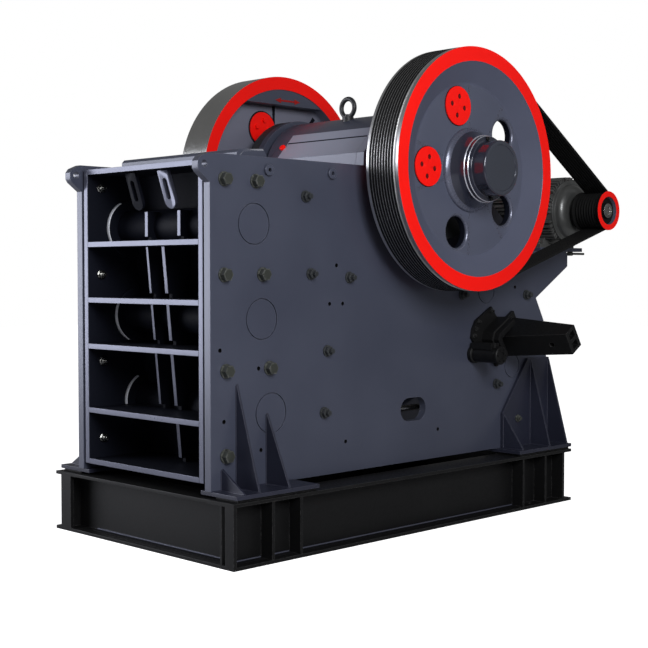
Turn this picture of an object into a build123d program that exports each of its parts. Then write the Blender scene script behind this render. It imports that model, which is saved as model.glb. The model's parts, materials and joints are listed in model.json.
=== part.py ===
"""Jaw crusher on a base frame, all sizes in millimetres.

Origin: centre of the base frame's anchor holes, on the ground.
+X runs from the ribbed front wall to the motor, -Y is the driven side, +Z is up.
"""
import math
import os

from build123d import *

os.makedirs("parts", exist_ok=True)

# base frame
BASE_L = 3450.0
BASE_H = 400.0
FLANGE_T = 22.0
WEB_T = 16.0
LONG_FLANGE_W = 235.0
CROSS_FLANGE_W = 240.0
STIFF_T = 20.0
STIFF_SETBACK = 8.0
FRONT_STIFF = (326.0, 563.0)
REAR_STIFF = (599.0, 323.0)
POST_T = 25.0
REAR_POST_IN = 79.0
NEAR_POST_W = 79.0
FAR_POST_HALF = 56.0
ANCHOR_R = 17.0
ANCHOR_IN = 60.0
ANCHOR_END = 450.0

# widths, from the jaw outwards
JAW_HALF = 590.0
JAW_SIDE_GAP = 24.0
CHEEK_T = 25.0
PLATE_T = 58.0
PLATE_IN = JAW_HALF + JAW_SIDE_GAP + CHEEK_T
PLATE_OUT = PLATE_IN + PLATE_T
HOUSING_PROUD = 93.0
HOUSING_OUT = PLATE_OUT + HOUSING_PROUD
HOUSING_IN = JAW_HALF + 10.0
WHEEL_GAP = 41.0
WHEEL_W = 281.0
WHEEL_IN = HOUSING_OUT + WHEEL_GAP
WHEEL_OUT = WHEEL_IN + WHEEL_W
WEB_RECESS = 82.0
WHEEL_WEB_T = 75.0
WEB_OUT = WHEEL_OUT - WEB_RECESS
WEB_IN = WEB_OUT - WHEEL_WEB_T
HUB_L = 134.0
HUB_FACE = WEB_OUT + HUB_L
CAP_L = 140.0
CAP_FACE = HUB_FACE + CAP_L
SHAFT_END = HUB_FACE - 14.0
FOOT_REACH = 228.0
FOOT_OUT = PLATE_OUT + FOOT_REACH
FOOT_EDGE = 10.0
BASE_W = 2 * (FOOT_OUT + FOOT_EDGE)

# feet
PAD_T = 15.0
FOOT_T = 25.0
FOOT_UNDER = 49.0
GUSSET_T = 17.0
GUSSET_TOE = 20.0
DOUBLER_T = 25.0
FRONT_FOOT = (-1690.0, -1005.0)
REAR_FOOT = (1080.0, 1740.0)
FRONT_GUSSETS = ((-1609.0, 572.0), (-1490.0, 1082.0), (-1242.0, 887.0))
REAR_GUSSETS = ((1150.0, 695.0), (1487.0, 1090.0), (1711.0, 1090.0))

# side plates
PLATE_FRONT = -1699.0
PLATE_BOTTOM = BASE_H + PAD_T + FOOT_T
PLATE_TOP = 2480.0
HORN_TOP = 1930.0
HORN_REAR = 2000.0
HORN_CHAMFER = 20.0
LUG_REACH = 91.0
LUG_HOLE_R = 21.0
LUG_HOLE_X = PLATE_FRONT - 41.0
LUG_HOLE_Z = PLATE_TOP - 68.0
SLOT_X = 143.0
SLOT_Z = 807.0
SLOT_L = 265.0
SLOT_H = 162.0

# shaft, bearings, flywheels
AX = 348.0
AZ = 2468.0
JAW_JOURNAL_R = 175.0
BEARING_R = 160.0
SEAT_R = 150.0
RUN_GAP = 0.3
HOUSING_R = 470.0
SPIGOT_R = 380.0
WHEEL_R = 833.0
RIM_T = 100.0
RIM_IN_R = WHEEL_R - RIM_T
HUB_R = 275.0
HUB_RING_R = 231.0
CAP_R = 187.0
HOLE_PCD_R = 450.0
WHEEL_HOLE_R = 115.0
COVER_R = 132.0
COVER_T = 11.0
COVER_PLUG = 30.0
SEGMENT_CHORD = 612.0

# belt drive
RIM_LAND = 21.0
BELT_IN = WHEEL_IN + RIM_LAND
BELT_W = 216.0
BELT_SIDE = 2.0
BELT_T = 15.5
BELT_RISE = 1.5
BELT_GAP = 0.5

# motor
MX = 1990.0
MZ = 2243.0
PULLEY_R = 138.0
PULLEY_FLANGE_R = 151.0
PULLEY_LAND = 16.0
PULLEY_IN = BELT_IN - PULLEY_LAND
PULLEY_OUT = BELT_IN + BELT_W + PULLEY_LAND
MOTOR_R = 281.0
MOTOR_NEAR = PLATE_OUT + 63.0
MOTOR_L = 1060.0
MOTOR_FAR = MOTOR_L - MOTOR_NEAR
MOTOR_SHAFT_R = 45.0
MOTOR_SHAFT_IN = 40.0
RAIL_T = 30.0
RAIL_FRONT = 1640.0

# adjusting wedge and toggle
WX = 1180.0
WZ = 1280.0
WEDGE_ANGLE = 32.0
WEDGE_T = 129.0
WEDGE_TIP_T = 62.0
WEDGE_S = 88.0
WEDGE_TAPER = PLATE_OUT + 55.0
WEDGE_END = PLATE_OUT + 623.0
WEDGE_INNER = 120.0
SEAT_T = 130.0
SLIDE_GAP = 0.5
GUIDE_T = 30.0
TOGGLE_DROP = 640.0
TOGGLE_X = -322.0
TOGGLE_Z = WZ - TOGGLE_DROP

# crushing chamber
FIX_LEAN = 0.088
DIE_T = 120.0
DIE_HALF = JAW_HALF + 8.0
DIE_BOTTOM = TOGGLE_Z - 80.0
DIE_TOP = 2425.0
DIE_TEETH = 14
TOOTH_DEPTH = 34.0
FRAME_FRONT = PLATE_FRONT + 4.0
SIDE_SEAM = 17.0
SEAM_DEPTH = 60.0
FLANGE_HALF = PLATE_IN - SIDE_SEAM
SIDE_FLANGE_T = 42.0
RIB_T = 34.0
RIB_TOPS = (2447.0, 1967.0, 1597.0, 1289.0, 861.0, 517.0)
WALL_FACE_TOP = -1345.0
WALL_T = 90.0
WEB_FRONT_TOP = -1518.0
WEB_FRONT_BOTTOM = -1375.0
FRONT_WEB_T = 32.0
SIDE_WEB_T = 24.0
SIDE_WEB_Y = 170.0
SHORT_WEB_H = 195.0
TUBE_R = 120.0
TUBES = ((-1348.0, 2063.0), (-1285.0, 1474.0), (-1208.0, 883.0))
CROWN_TOP = 2530.0
CROWN_HALF = JAW_HALF + 10.0
SWING_FACE_TOP = -135.0
SWING_FACE_BOTTOM = -766.0
SWING_TOP_Z = 2400.0
BARREL_R = 444.0

OUT = {}


def put(name, shape, rgb):
    shape.color = Color(*rgb)
    OUT[name] = shape


def put_both(name, shape, rgb):
    """A near piece and its mirror image on the far side, in nodes of their own."""
    put(name + "_near", shape, rgb)
    put(name + "_far", far(shape), rgb)


def block(x0, x1, y0, y1, z0, z1):
    return Pos((x0 + x1) / 2, (y0 + y1) / 2, (z0 + z1) / 2) * Box(x1 - x0, y1 - y0, z1 - z0)


def face_at(points, y):
    """Face of an outline in X and Z at a Y value; it looks towards -Y."""
    plane = Plane(origin=(0, y, 0), x_dir=(1, 0, 0), z_dir=(0, -1, 0))
    return plane * make_face(Polyline(*points, close=True))


def prism(points, y0, y1):
    """Prism of an outline in X and Z between two Y values."""
    return extrude(face_at(points, y1), amount=y1 - y0)


def rod_y(r, y0, y1, x, z):
    return Pos(x, (y0 + y1) / 2, z) * Rot(90, 0, 0) * Cylinder(r, y1 - y0)


def rod_between(r, a, b):
    """Round bar between two points."""
    va = Vector(*a)
    vb = Vector(*b)
    d = vb - va
    plane = Plane(origin=va, z_dir=d)
    return extrude(plane * Circle(r), amount=d.length)


def ring_y(r_out, r_in, y0, y1, x, z):
    return rod_y(r_out, y0, y1, x, z) - rod_y(r_in, y0 - 1, y1 + 1, x, z)


def far(shape):
    """The same shape on the other side of the machine."""
    return mirror(shape, about=Plane.XZ)


def local(t, s):
    """Point given along and across the wedge's section from its centre."""
    a = math.radians(WEDGE_ANGLE)
    x = WX + t * math.cos(a) - s * math.sin(a)
    z = WZ + t * math.sin(a) + s * math.cos(a)
    return (x, z)


def local_rect(t0, t1, s0, s1):
    return [local(t0, s0), local(t1, s0), local(t1, s1), local(t0, s1)]


def wall_x(z, offset=0.0):
    """X of the fixed wall's front face at a height, moved back by an offset."""
    return WALL_FACE_TOP + (RIB_TOPS[0] - z) * FIX_LEAN + offset


def swing_x(z):
    run = SWING_FACE_BOTTOM - SWING_FACE_TOP
    return SWING_FACE_TOP + run * (SWING_TOP_Z - z) / (SWING_TOP_Z - DIE_BOTTOM)


# colours
SLATE = (0.16, 0.18, 0.24)
BLACK = (0.03, 0.03, 0.03)
RED = (0.85, 0.03, 0.02)
STEEL = (0.45, 0.45, 0.44)
DARK = (0.08, 0.085, 0.08)

# base frame beams
half_w = BASE_W / 2
half_l = BASE_L / 2
web_y = half_w - LONG_FLANGE_W / 2
cross_half = half_w - LONG_FLANGE_W


def long_beam(post_y0, post_y1):
    """Driven-side beam; the front end plate lies between the two Y values."""
    y0 = -half_w
    y1 = -cross_half
    rear_post = half_l - REAR_POST_IN
    beam = block(-half_l, half_l, y0, y1, 0, FLANGE_T)
    beam += block(-half_l, half_l, y0, y1, BASE_H - FLANGE_T, BASE_H)
    beam += block(-half_l, rear_post, -web_y - WEB_T / 2, -web_y + WEB_T / 2, 0, BASE_H)
    stations = [-half_l + d for d in FRONT_STIFF] + [half_l - d for d in REAR_STIFF]
    for x in stations:
        beam += block(x - STIFF_T / 2, x + STIFF_T / 2, y0 + STIFF_SETBACK, y1, 0, BASE_H)
    beam += block(-half_l, -half_l + POST_T, post_y0, post_y1, 0, BASE_H)
    beam += block(rear_post - POST_T, rear_post, y0 + STIFF_SETBACK, y1, 0, BASE_H)
    anchor_x = half_l - ANCHOR_END
    for x in (-anchor_x, anchor_x):
        beam -= Pos(x, y0 + ANCHOR_IN, 0) * Cylinder(ANCHOR_R, 4 * FLANGE_T)
    return beam


put("base_beam_near", long_beam(-half_w, -half_w + NEAR_POST_W), BLACK)
far_beam = long_beam(-web_y - FAR_POST_HALF, -web_y + FAR_POST_HALF)
put("base_beam_far", far(far_beam), BLACK)


def cross_beam(side):
    x_out = side * half_l
    x_in = side * (half_l - CROSS_FLANGE_W)
    xa = min(x_out, x_in)
    xb = max(x_out, x_in)
    xm = (xa + xb) / 2
    web_end = web_y - WEB_T / 2
    beam = block(xa, xb, -cross_half, cross_half, 0, FLANGE_T)
    beam += block(xa, xb, -cross_half, cross_half, BASE_H - FLANGE_T, BASE_H)
    beam += block(xm - WEB_T / 2, xm + WEB_T / 2, -web_end, web_end, FLANGE_T, BASE_H - FLANGE_T)
    return beam


put("base_beam_front", cross_beam(-1), BLACK)
put("base_beam_rear", cross_beam(1), BLACK)

# side plates
plate_outline = [
    (PLATE_FRONT, PLATE_BOTTOM),
    (PLATE_FRONT, PLATE_TOP - 175),
    (PLATE_FRONT - 76, PLATE_TOP - 118),
    (PLATE_FRONT - LUG_REACH, PLATE_TOP - 95),
    (PLATE_FRONT - LUG_REACH, PLATE_TOP - 53),
    (PLATE_FRONT - 71, PLATE_TOP - 26),
    (PLATE_FRONT - 10, PLATE_TOP),
    (AX + 420, PLATE_TOP),
    (1180, HORN_TOP + 220),
    (1450, HORN_TOP),
    (HORN_REAR - HORN_CHAMFER, HORN_TOP),
    (HORN_REAR, HORN_TOP - HORN_CHAMFER),
    (HORN_REAR, HORN_TOP - 118),
    (1581, 1566),
    (1683, 1390),
    (1721, 1104),
    (1755, PLATE_BOTTOM),
]
plate = prism(plate_outline, -PLATE_OUT, -PLATE_IN)
plate += rod_y(HOUSING_R, -PLATE_OUT, -PLATE_IN, AX, AZ)
plate -= rod_y(SPIGOT_R + RUN_GAP, -PLATE_OUT - 1, -PLATE_IN + 1, AX, AZ)
plate -= rod_y(LUG_HOLE_R, -PLATE_OUT - 1, -PLATE_IN + 1, LUG_HOLE_X, LUG_HOLE_Z)
slot_plane = Plane(origin=(SLOT_X, -PLATE_IN + 1, SLOT_Z), x_dir=(1, 0, 0), z_dir=(0, -1, 0))
plate -= extrude(slot_plane * SlotOverall(SLOT_L, SLOT_H), amount=PLATE_T + 2)
window = local_rect(-WEDGE_T - 1, WEDGE_T + 1, -WEDGE_S - 1, WEDGE_S + 1)
plate -= prism(window, -PLATE_OUT - 1, -PLATE_IN + 1)
put_both("side_plate", plate, SLATE)

# front frame: leaning wall with cross tubes and a crown that carries the fixed jaw
wall_bottom = RIB_TOPS[-1] - RIB_T
flange_in = FLANGE_HALF - SIDE_FLANGE_T
wall_outline = [
    (wall_x(RIB_TOPS[0]), RIB_TOPS[0]),
    (wall_x(wall_bottom), wall_bottom),
    (wall_x(wall_bottom, WALL_T), wall_bottom),
    (wall_x(RIB_TOPS[0], WALL_T), RIB_TOPS[0]),
]
front_wall = prism(wall_outline, -PLATE_IN, PLATE_IN)
for x, z in TUBES:
    tube = rod_y(TUBE_R, -flange_in, flange_in, x, z)
    buried = wall_x(z, WALL_T / 2)
    front_wall += tube & block(x - TUBE_R, buried, -flange_in, flange_in, z - TUBE_R, z + TUBE_R)
crown_back = wall_x(RIB_TOPS[0], WALL_T)
crown = [
    (crown_back - 145, RIB_TOPS[0]),
    (crown_back - 145, CROWN_TOP - 20),
    (crown_back - 125, CROWN_TOP),
    (crown_back, CROWN_TOP),
    (crown_back, RIB_TOPS[0]),
]
front_wall += prism(crown, -CROWN_HALF, CROWN_HALF)
put("front_wall", front_wall, SLATE)


def tube_cuts():
    cuts = []
    for x, z in TUBES:
        cuts.append(rod_y(TUBE_R + RUN_GAP, -flange_in, flange_in, x, z))
    return cuts


# side flanges of the front frame, bolted to the side plates
flanges = []
for side in (-1, 1):
    for ya, yb, x0 in (
        (flange_in, FLANGE_HALF, FRAME_FRONT),
        (FLANGE_HALF, PLATE_IN, FRAME_FRONT + SEAM_DEPTH),
    ):
        outline = [
            (x0, wall_bottom),
            (x0, RIB_TOPS[0]),
            (wall_x(RIB_TOPS[0]), RIB_TOPS[0]),
            (wall_x(wall_bottom), wall_bottom),
        ]
        flanges.append(prism(outline, min(side * ya, side * yb), max(side * ya, side * yb)))
near_flange = flanges[0] + flanges[1]
far_flange = flanges[2] + flanges[3]
put("front_flanges", Compound(children=[near_flange, far_flange]), SLATE)

# shelf ribs of the front frame
ribs = []
for top in RIB_TOPS:
    outline = [
        (FRAME_FRONT, top),
        (wall_x(top), top),
        (wall_x(top - RIB_T), top - RIB_T),
        (FRAME_FRONT, top - RIB_T),
    ]
    rib = prism(outline, -flange_in, flange_in)
    for cut in tube_cuts():
        rib -= cut
    rib = max(rib.solids(), key=lambda s: s.volume)
    ribs.append(rib)
put("front_ribs", Compound(children=ribs), SLATE)


def web_front(z):
    """X of the webs' slanting front edge at a height."""
    share = (RIB_TOPS[1] - z) / (RIB_TOPS[1] - RIB_TOPS[-1])
    return WEB_FRONT_TOP + (WEB_FRONT_BOTTOM - WEB_FRONT_TOP) * share


def upright_web(y, thick, z0, z1, front0, front1):
    """Web from a front edge back to the wall, cut out round the cross tubes."""
    outline = [(front1, z1), (wall_x(z1), z1), (wall_x(z0), z0), (front0, z0)]
    web = prism(outline, y - thick / 2, y + thick / 2)
    for cut in tube_cuts():
        web -= cut
    return max(web.solids(), key=lambda solid: solid.volume)


# upright webs between the ribs: a middle row, a side row and two short ones on top
webs = []
for y, thick, bays in ((0.0, FRONT_WEB_T, (1, 2, 3, 4)), (SIDE_WEB_Y, SIDE_WEB_T, (1, 2, 3))):
    for i in bays:
        z1 = RIB_TOPS[i] - RIB_T
        z0 = RIB_TOPS[i + 1]
        webs.append(upright_web(y, thick, z0, z1, web_front(z0), web_front(z1)))
for y in (-SIDE_WEB_Y, SIDE_WEB_Y):
    z0 = RIB_TOPS[1]
    z1 = z0 + SHORT_WEB_H
    webs.append(upright_web(y, FRONT_WEB_T, z0, z1, WEB_FRONT_TOP, WEB_FRONT_TOP))
put("front_webs", Compound(children=webs), SLATE)

# fixed jaw die with vertical teeth
tooth_pitch = 2 * DIE_HALF / DIE_TEETH


def toothed(die, top, bottom, inward):
    """Cuts vertical grooves into a die; top and bottom are face points in X and Z."""
    down = Vector(bottom[0] - top[0], 0, bottom[1] - top[1])
    start = Vector(top[0], 0, top[1]) - down * 0.01
    half = tooth_pitch * 0.36
    deep = TOOTH_DEPTH * inward
    outline = [(-half, -inward), (half, -inward), (half * 0.35, deep), (-half * 0.35, deep)]
    for i in range(DIE_TEETH - 1):
        y = -DIE_HALF + tooth_pitch * (i + 1)
        plane = Plane(origin=start + Vector(0, y, 0), x_dir=(0, 1, 0), z_dir=down)
        groove = plane * make_face(Polyline(*outline, close=True))
        die -= extrude(groove, amount=down.length * 1.02)
    return die


fix_back = WALL_T + RUN_GAP
fixed_outline = [
    (wall_x(DIE_TOP, fix_back), DIE_TOP),
    (wall_x(DIE_BOTTOM, fix_back), DIE_BOTTOM),
    (wall_x(DIE_BOTTOM, fix_back + DIE_T), DIE_BOTTOM),
    (wall_x(DIE_TOP, fix_back + DIE_T), DIE_TOP),
]
fixed_die = prism(fixed_outline, -DIE_HALF, DIE_HALF)
fixed_die = toothed(fixed_die, fixed_outline[3], fixed_outline[2], -1)
put("fixed_jaw_die", fixed_die, STEEL)

# bar that clamps the fixed die from above
CLAMP_W = 103.0
clamp_x0 = wall_x(DIE_TOP + 6, WALL_T) + RUN_GAP
clamp_x1 = clamp_x0 + CLAMP_W
clamp = [
    (clamp_x0, DIE_TOP + 6),
    (clamp_x0, CROWN_TOP),
    (clamp_x1 - 22, CROWN_TOP),
    (clamp_x1, CROWN_TOP - 30),
    (clamp_x1, DIE_TOP + 6),
]
put("jaw_clamp_bar", prism(clamp, -CROWN_HALF, CROWN_HALF), SLATE)

# cheek plates that line the chamber
CHEEK_TOP = SWING_TOP_Z
CHEEK_BOTTOM = DIE_BOTTOM + 200.0
cheek_outline = [
    (wall_x(CHEEK_TOP, WALL_T + 2), CHEEK_TOP),
    (wall_x(CHEEK_BOTTOM, WALL_T + 2), CHEEK_BOTTOM),
    (swing_x(CHEEK_BOTTOM) + 137, CHEEK_BOTTOM),
    (swing_x(CHEEK_TOP) + 65, CHEEK_TOP),
]
cheek = prism(cheek_outline, -PLATE_IN, -PLATE_IN + CHEEK_T)
put("cheek_plates", Compound(children=[cheek, far(cheek)]), STEEL)

# swing jaw
run = Vector(SWING_FACE_BOTTOM - SWING_FACE_TOP, DIE_BOTTOM - SWING_TOP_Z, 0).normalized()
back = Vector(-run.Y, run.X, 0)
if back.X < 0:
    back = back * -1


def swing_point(z, offset):
    return (swing_x(z) + back.X * offset, z + back.Y * offset)


swing_die_outline = [
    swing_point(SWING_TOP_Z, 0),
    swing_point(DIE_BOTTOM, 0),
    swing_point(DIE_BOTTOM, DIE_T),
    swing_point(SWING_TOP_Z, DIE_T),
]
swing_die = prism(swing_die_outline, -JAW_HALF, JAW_HALF)
swing_die = toothed(swing_die, swing_die_outline[0], swing_die_outline[1], 1)
put("swing_jaw_die", swing_die, STEEL)


def head_point(proud, angle):
    """Point round the barrel's axis, so far outside the barrel's surface."""
    a = math.radians(angle)
    return (AX + (BARREL_R + proud) * math.cos(a), AZ + (BARREL_R + proud) * math.sin(a))


head_front = [head_point(-30, 138), head_point(22, 165), head_point(25, 187)]
jaw_outline = head_front + [
    swing_point(SWING_TOP_Z + 30, DIE_T + RUN_GAP),
    swing_point(DIE_BOTTOM, DIE_T + RUN_GAP),
    (TOGGLE_X - 148, TOGGLE_Z - 140),
    (TOGGLE_X - 8, TOGGLE_Z - 80),
    (TOGGLE_X + 72, TOGGLE_Z + 120),
    (TOGGLE_X + 162, TOGGLE_Z + 360),
    (200, 1650),
    head_point(-6, -72.5),
]
jaw = prism(jaw_outline, -JAW_HALF, JAW_HALF) + rod_y(BARREL_R, -JAW_HALF, JAW_HALF, AX, AZ)
jaw -= rod_y(JAW_JOURNAL_R + RUN_GAP, -JAW_HALF - 1, JAW_HALF + 1, AX, AZ)
die_seat = [
    swing_point(SWING_TOP_Z + 8, -300),
    swing_point(SWING_TOP_Z + 8, DIE_T + RUN_GAP),
    swing_point(DIE_BOTTOM, DIE_T + RUN_GAP),
    swing_point(DIE_BOTTOM, -300),
]
jaw -= prism(die_seat, -JAW_HALF - 1, JAW_HALF + 1)
TOGGLE_A = (TOGGLE_X, TOGGLE_Z)
TOGGLE_B = local(-WEDGE_T - SEAT_T - SLIDE_GAP, 0)
TOGGLE_T = 90.0
TOGGLE_HALF = JAW_HALF - 70.0
TOGGLE_ROOM = 17.0
toggle_dir = Vector(TOGGLE_B[0] - TOGGLE_A[0], TOGGLE_B[1] - TOGGLE_A[1], 0).normalized()
toggle_nrm = Vector(-toggle_dir.Y, toggle_dir.X, 0)


def toggle_point(base, along, across):
    return (
        base[0] + toggle_dir.X * along + toggle_nrm.X * across,
        base[1] + toggle_dir.Y * along + toggle_nrm.Y * across,
    )


pocket_half = TOGGLE_T / 2 + TOGGLE_ROOM
pocket = [
    toggle_point(TOGGLE_A, -TOGGLE_ROOM - 1, -pocket_half),
    toggle_point(TOGGLE_A, 400, -pocket_half),
    toggle_point(TOGGLE_A, 400, pocket_half),
    toggle_point(TOGGLE_A, -TOGGLE_ROOM - 1, pocket_half),
]
jaw -= prism(pocket, -JAW_HALF - 1, JAW_HALF + 1)

# tension rods that hold the jaw against the toggle
ROD_R = 22.0
ROD_Y = JAW_HALF - 25.0
ROD_Z = TOGGLE_Z + 160.0
ROD_X0 = TOGGLE_X + 87.0
ROD_X1 = 1310.0
ROD_LUG_X = (TOGGLE_X + 22.0, TOGGLE_X + 172.0)
ROD_LUG_H = 96.0
BRACKET_X = 1000.0
BRACKET_T = 30.0
BRACKET_W = 144.0
SPRING_END = 1245.0
SPRING_R = 52.0
NUT_GAP = 17.0
NUT_T = 20.0
ROD_ROOM = 14.0
for y in (-ROD_Y, ROD_Y):
    jaw += block(*ROD_LUG_X, y - 25, y + 25, ROD_Z - ROD_LUG_H / 2, ROD_Z + ROD_LUG_H / 2)
    jaw -= rod_between(ROD_R + RUN_GAP, (ROD_X0 - 0.5, y, ROD_Z), (0, y, ROD_Z))
put("swing_jaw", jaw, SLATE)

guard_outline = [
    head_point(6, 134.3),
    head_point(60, 164.8),
    head_point(56, 185),
    head_point(-4, 185.7),
    head_point(-15, 162),
    head_point(-48, 136.7),
]
guard_half = JAW_HALF - 105.0
guard = prism(guard_outline, -guard_half, guard_half)
guard -= rod_y(BARREL_R + RUN_GAP, -JAW_HALF, JAW_HALF, AX, AZ)
behind_guard = [(x - RUN_GAP, z + RUN_GAP / 2) for x, z in head_front]
behind_guard += [(AX, head_front[2][1]), (AX, head_front[0][1])]
guard -= prism(behind_guard, -JAW_HALF, JAW_HALF)
put("head_guard", guard, SLATE)

toggle_plate = prism(
    [
        toggle_point(TOGGLE_A, 0, -TOGGLE_T / 2),
        toggle_point(TOGGLE_B, 0, -TOGGLE_T / 2),
        toggle_point(TOGGLE_B, 0, TOGGLE_T / 2),
        toggle_point(TOGGLE_A, 0, TOGGLE_T / 2),
    ],
    -TOGGLE_HALF,
    TOGGLE_HALF,
)
seat_front = -WEDGE_T - SEAT_T
toggle_plate -= prism(local_rect(seat_front - RUN_GAP, 0, -WEDGE_S, WEDGE_S), -PLATE_IN, PLATE_IN)
put("toggle_plate", toggle_plate, SLATE)

SEAT_HALF = JAW_HALF - 30.0
seat = prism(local_rect(seat_front, -WEDGE_T - SLIDE_GAP, -WEDGE_S, WEDGE_S), -SEAT_HALF, SEAT_HALF)
put("toggle_seat", seat, DARK)

# rear beam that carries the wedge
BEAM_T = 268.0
BEAM_HALF_H = 260.0
LIP_H = 62.0
lip_front = seat_front + 2
lip_out = WEDGE_S + LIP_H
beam_section = local_rect(WEDGE_T + SLIDE_GAP, WEDGE_T + BEAM_T, -BEAM_HALF_H, BEAM_HALF_H)
rear = prism(beam_section, -PLATE_IN, PLATE_IN)
rear += prism(local_rect(lip_front, WEDGE_T + 20, WEDGE_S + SLIDE_GAP, lip_out), -PLATE_IN, PLATE_IN)
rear += prism(local_rect(lip_front, WEDGE_T + 20, -lip_out, -WEDGE_S - SLIDE_GAP), -PLATE_IN, PLATE_IN)
put("rear_beam", rear, SLATE)

# adjusting wedges: thick inside the frame, tapering to their outer ends
WEDGE_POCKET = (12.0, 66.0)
WEDGE_POCKET_T = 34.0
WEDGE_POCKET_DEEP = 45.0
WEDGE_PIN_R = 20.0
WEDGE_PIN_Y = WEDGE_END - 140.0
full = local_rect(-WEDGE_T, WEDGE_T, -WEDGE_S, WEDGE_S)
tip = local_rect(-WEDGE_TIP_T, WEDGE_TIP_T, -WEDGE_S, WEDGE_S)
wedge = prism(full, -WEDGE_TAPER, -WEDGE_INNER)
wedge += loft([face_at(full, -WEDGE_TAPER), face_at(tip, -WEDGE_END)], ruled=True)
for sign in (-1, 1):
    s0 = min(sign * WEDGE_POCKET[0], sign * WEDGE_POCKET[1])
    s1 = max(sign * WEDGE_POCKET[0], sign * WEDGE_POCKET[1])
    pocket_face = local_rect(-WEDGE_POCKET_T, WEDGE_POCKET_T, s0, s1)
    wedge -= prism(pocket_face, -WEDGE_END - 1, -WEDGE_END + WEDGE_POCKET_DEEP)
pin_a = local(-WEDGE_T - 20, 0)
pin_b = local(0, 0)
wedge -= rod_between(WEDGE_PIN_R, (pin_a[0], -WEDGE_PIN_Y, pin_a[1]), (pin_b[0], -WEDGE_PIN_Y, pin_b[1]))
put_both("adjusting_wedge", wedge, BLACK)

guide_section = local_rect(-WEDGE_T - 88, WEDGE_T + 40, -WEDGE_S - 36, WEDGE_S + 36)
guide = prism(guide_section, -PLATE_OUT - GUIDE_T, -PLATE_OUT)
slot_t = WEDGE_T + SLIDE_GAP
slot_s = WEDGE_S + SLIDE_GAP
guide -= prism(local_rect(-slot_t, slot_t, -slot_s, slot_s), -PLATE_OUT - GUIDE_T - 1, -PLATE_OUT + 1)
put_both("wedge_guide", guide, BLACK)

# hydraulic cylinders that shift the wedges
CYL_X = 800.0
CYL_Z = 1165.0
CYL_R = 58.0
CYL_CAP_R = 66.0
CYL_CAP_T = 30.0
CYL_L = 270.0
cylinder = rod_y(CYL_R, -PLATE_OUT - CYL_L, -PLATE_OUT, CYL_X, CYL_Z)
cylinder += rod_y(CYL_CAP_R, -PLATE_OUT - CYL_CAP_T, -PLATE_OUT, CYL_X, CYL_Z)
cap_end = PLATE_OUT + CYL_L
cylinder += rod_y(CYL_CAP_R, -cap_end, -cap_end + CYL_CAP_T, CYL_X, CYL_Z)
put("wedge_cylinders", Compound(children=[cylinder, far(cylinder)]), BLACK)

rods = []
springs = []
brackets = []
for y in (-ROD_Y, ROD_Y):
    rod = rod_between(ROD_R, (ROD_X0, y, ROD_Z), (ROD_X1, y, ROD_Z))
    nut_x = SPRING_END + NUT_GAP
    rod += rod_between(SPRING_R, (nut_x, y, ROD_Z), (nut_x + NUT_T, y, ROD_Z))
    rods.append(rod)
    spring = rod_between(SPRING_R, (BRACKET_X + BRACKET_T, y, ROD_Z), (SPRING_END, y, ROD_Z))
    spring -= rod_between(ROD_R + ROD_ROOM, (BRACKET_X, y, ROD_Z), (SPRING_END + 1, y, ROD_Z))
    springs.append(spring)
    wall = math.copysign(PLATE_IN, y)
    inner = math.copysign(PLATE_IN - BRACKET_W, y)
    bracket = block(
        BRACKET_X, BRACKET_X + BRACKET_T, min(wall, inner), max(wall, inner), ROD_Z - 75, ROD_Z + 75
    )
    bracket -= rod_between(ROD_R + ROD_ROOM, (BRACKET_X - 1, y, ROD_Z), (SPRING_END, y, ROD_Z))
    brackets.append(bracket)
put("tension_rods", Compound(children=rods), STEEL)
put("tension_springs", Compound(children=springs), DARK)
put("tension_brackets", Compound(children=brackets), SLATE)

# main shaft
shaft = rod_y(JAW_JOURNAL_R, -JAW_HALF + 2, JAW_HALF - 2, AX, AZ)
shaft += rod_y(BEARING_R, -HOUSING_OUT - 8, HOUSING_OUT + 8, AX, AZ)
shaft += rod_y(SEAT_R, -SHAFT_END, SHAFT_END, AX, AZ)
put("main_shaft", shaft, STEEL)

housing = rod_y(HOUSING_R, -HOUSING_OUT, -PLATE_OUT, AX, AZ)
housing += rod_y(SPIGOT_R, -PLATE_OUT - 5, -HOUSING_IN, AX, AZ)
housing -= rod_y(BEARING_R + RUN_GAP, -HOUSING_OUT - 1, -HOUSING_IN + 1, AX, AZ)
put_both("bearing_housing", housing, DARK)

# flywheels
HOLE_COUNT = 5
COVERED_NEAR = (180.0, 108.0)
COVERED_FAR = 108.0


def wheel_place(angle):
    a = math.radians(angle)
    return (AX + HOLE_PCD_R * math.cos(a), AZ + HOLE_PCD_R * math.sin(a))


def flywheel():
    """Driven-side wheel; its outer face looks towards -Y."""
    bore = SEAT_R + RUN_GAP
    half = [
        (bore, -WHEEL_IN - 5),
        (HUB_R, -WHEEL_IN - 5),
        (HUB_R, -WEB_IN),
        (RIM_IN_R, -WEB_IN),
        (RIM_IN_R, -WHEEL_IN),
        (WHEEL_R, -WHEEL_IN),
        (WHEEL_R, -WHEEL_OUT),
        (RIM_IN_R, -WHEEL_OUT),
        (RIM_IN_R - 12, -WEB_OUT),
        (HUB_R + 25, -WEB_OUT),
        (HUB_R, -WEB_OUT - 25),
        (HUB_R - 8, -WEB_OUT - 60),
        (HUB_RING_R + 12, -WEB_OUT - 80),
        (HUB_RING_R, -WEB_OUT - 84),
        (HUB_RING_R, -HUB_FACE),
        (bore, -HUB_FACE),
    ]
    wheel = Pos(AX, 0, AZ) * revolve(make_face(Polyline(*half, close=True)), axis=Axis.Y)
    for k in range(HOLE_COUNT):
        x, z = wheel_place(COVERED_NEAR[0] + 360.0 / HOLE_COUNT * k)
        wheel -= rod_y(WHEEL_HOLE_R, -WEB_OUT - 5, -WEB_IN + 5, x, z)
    return wheel


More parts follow.
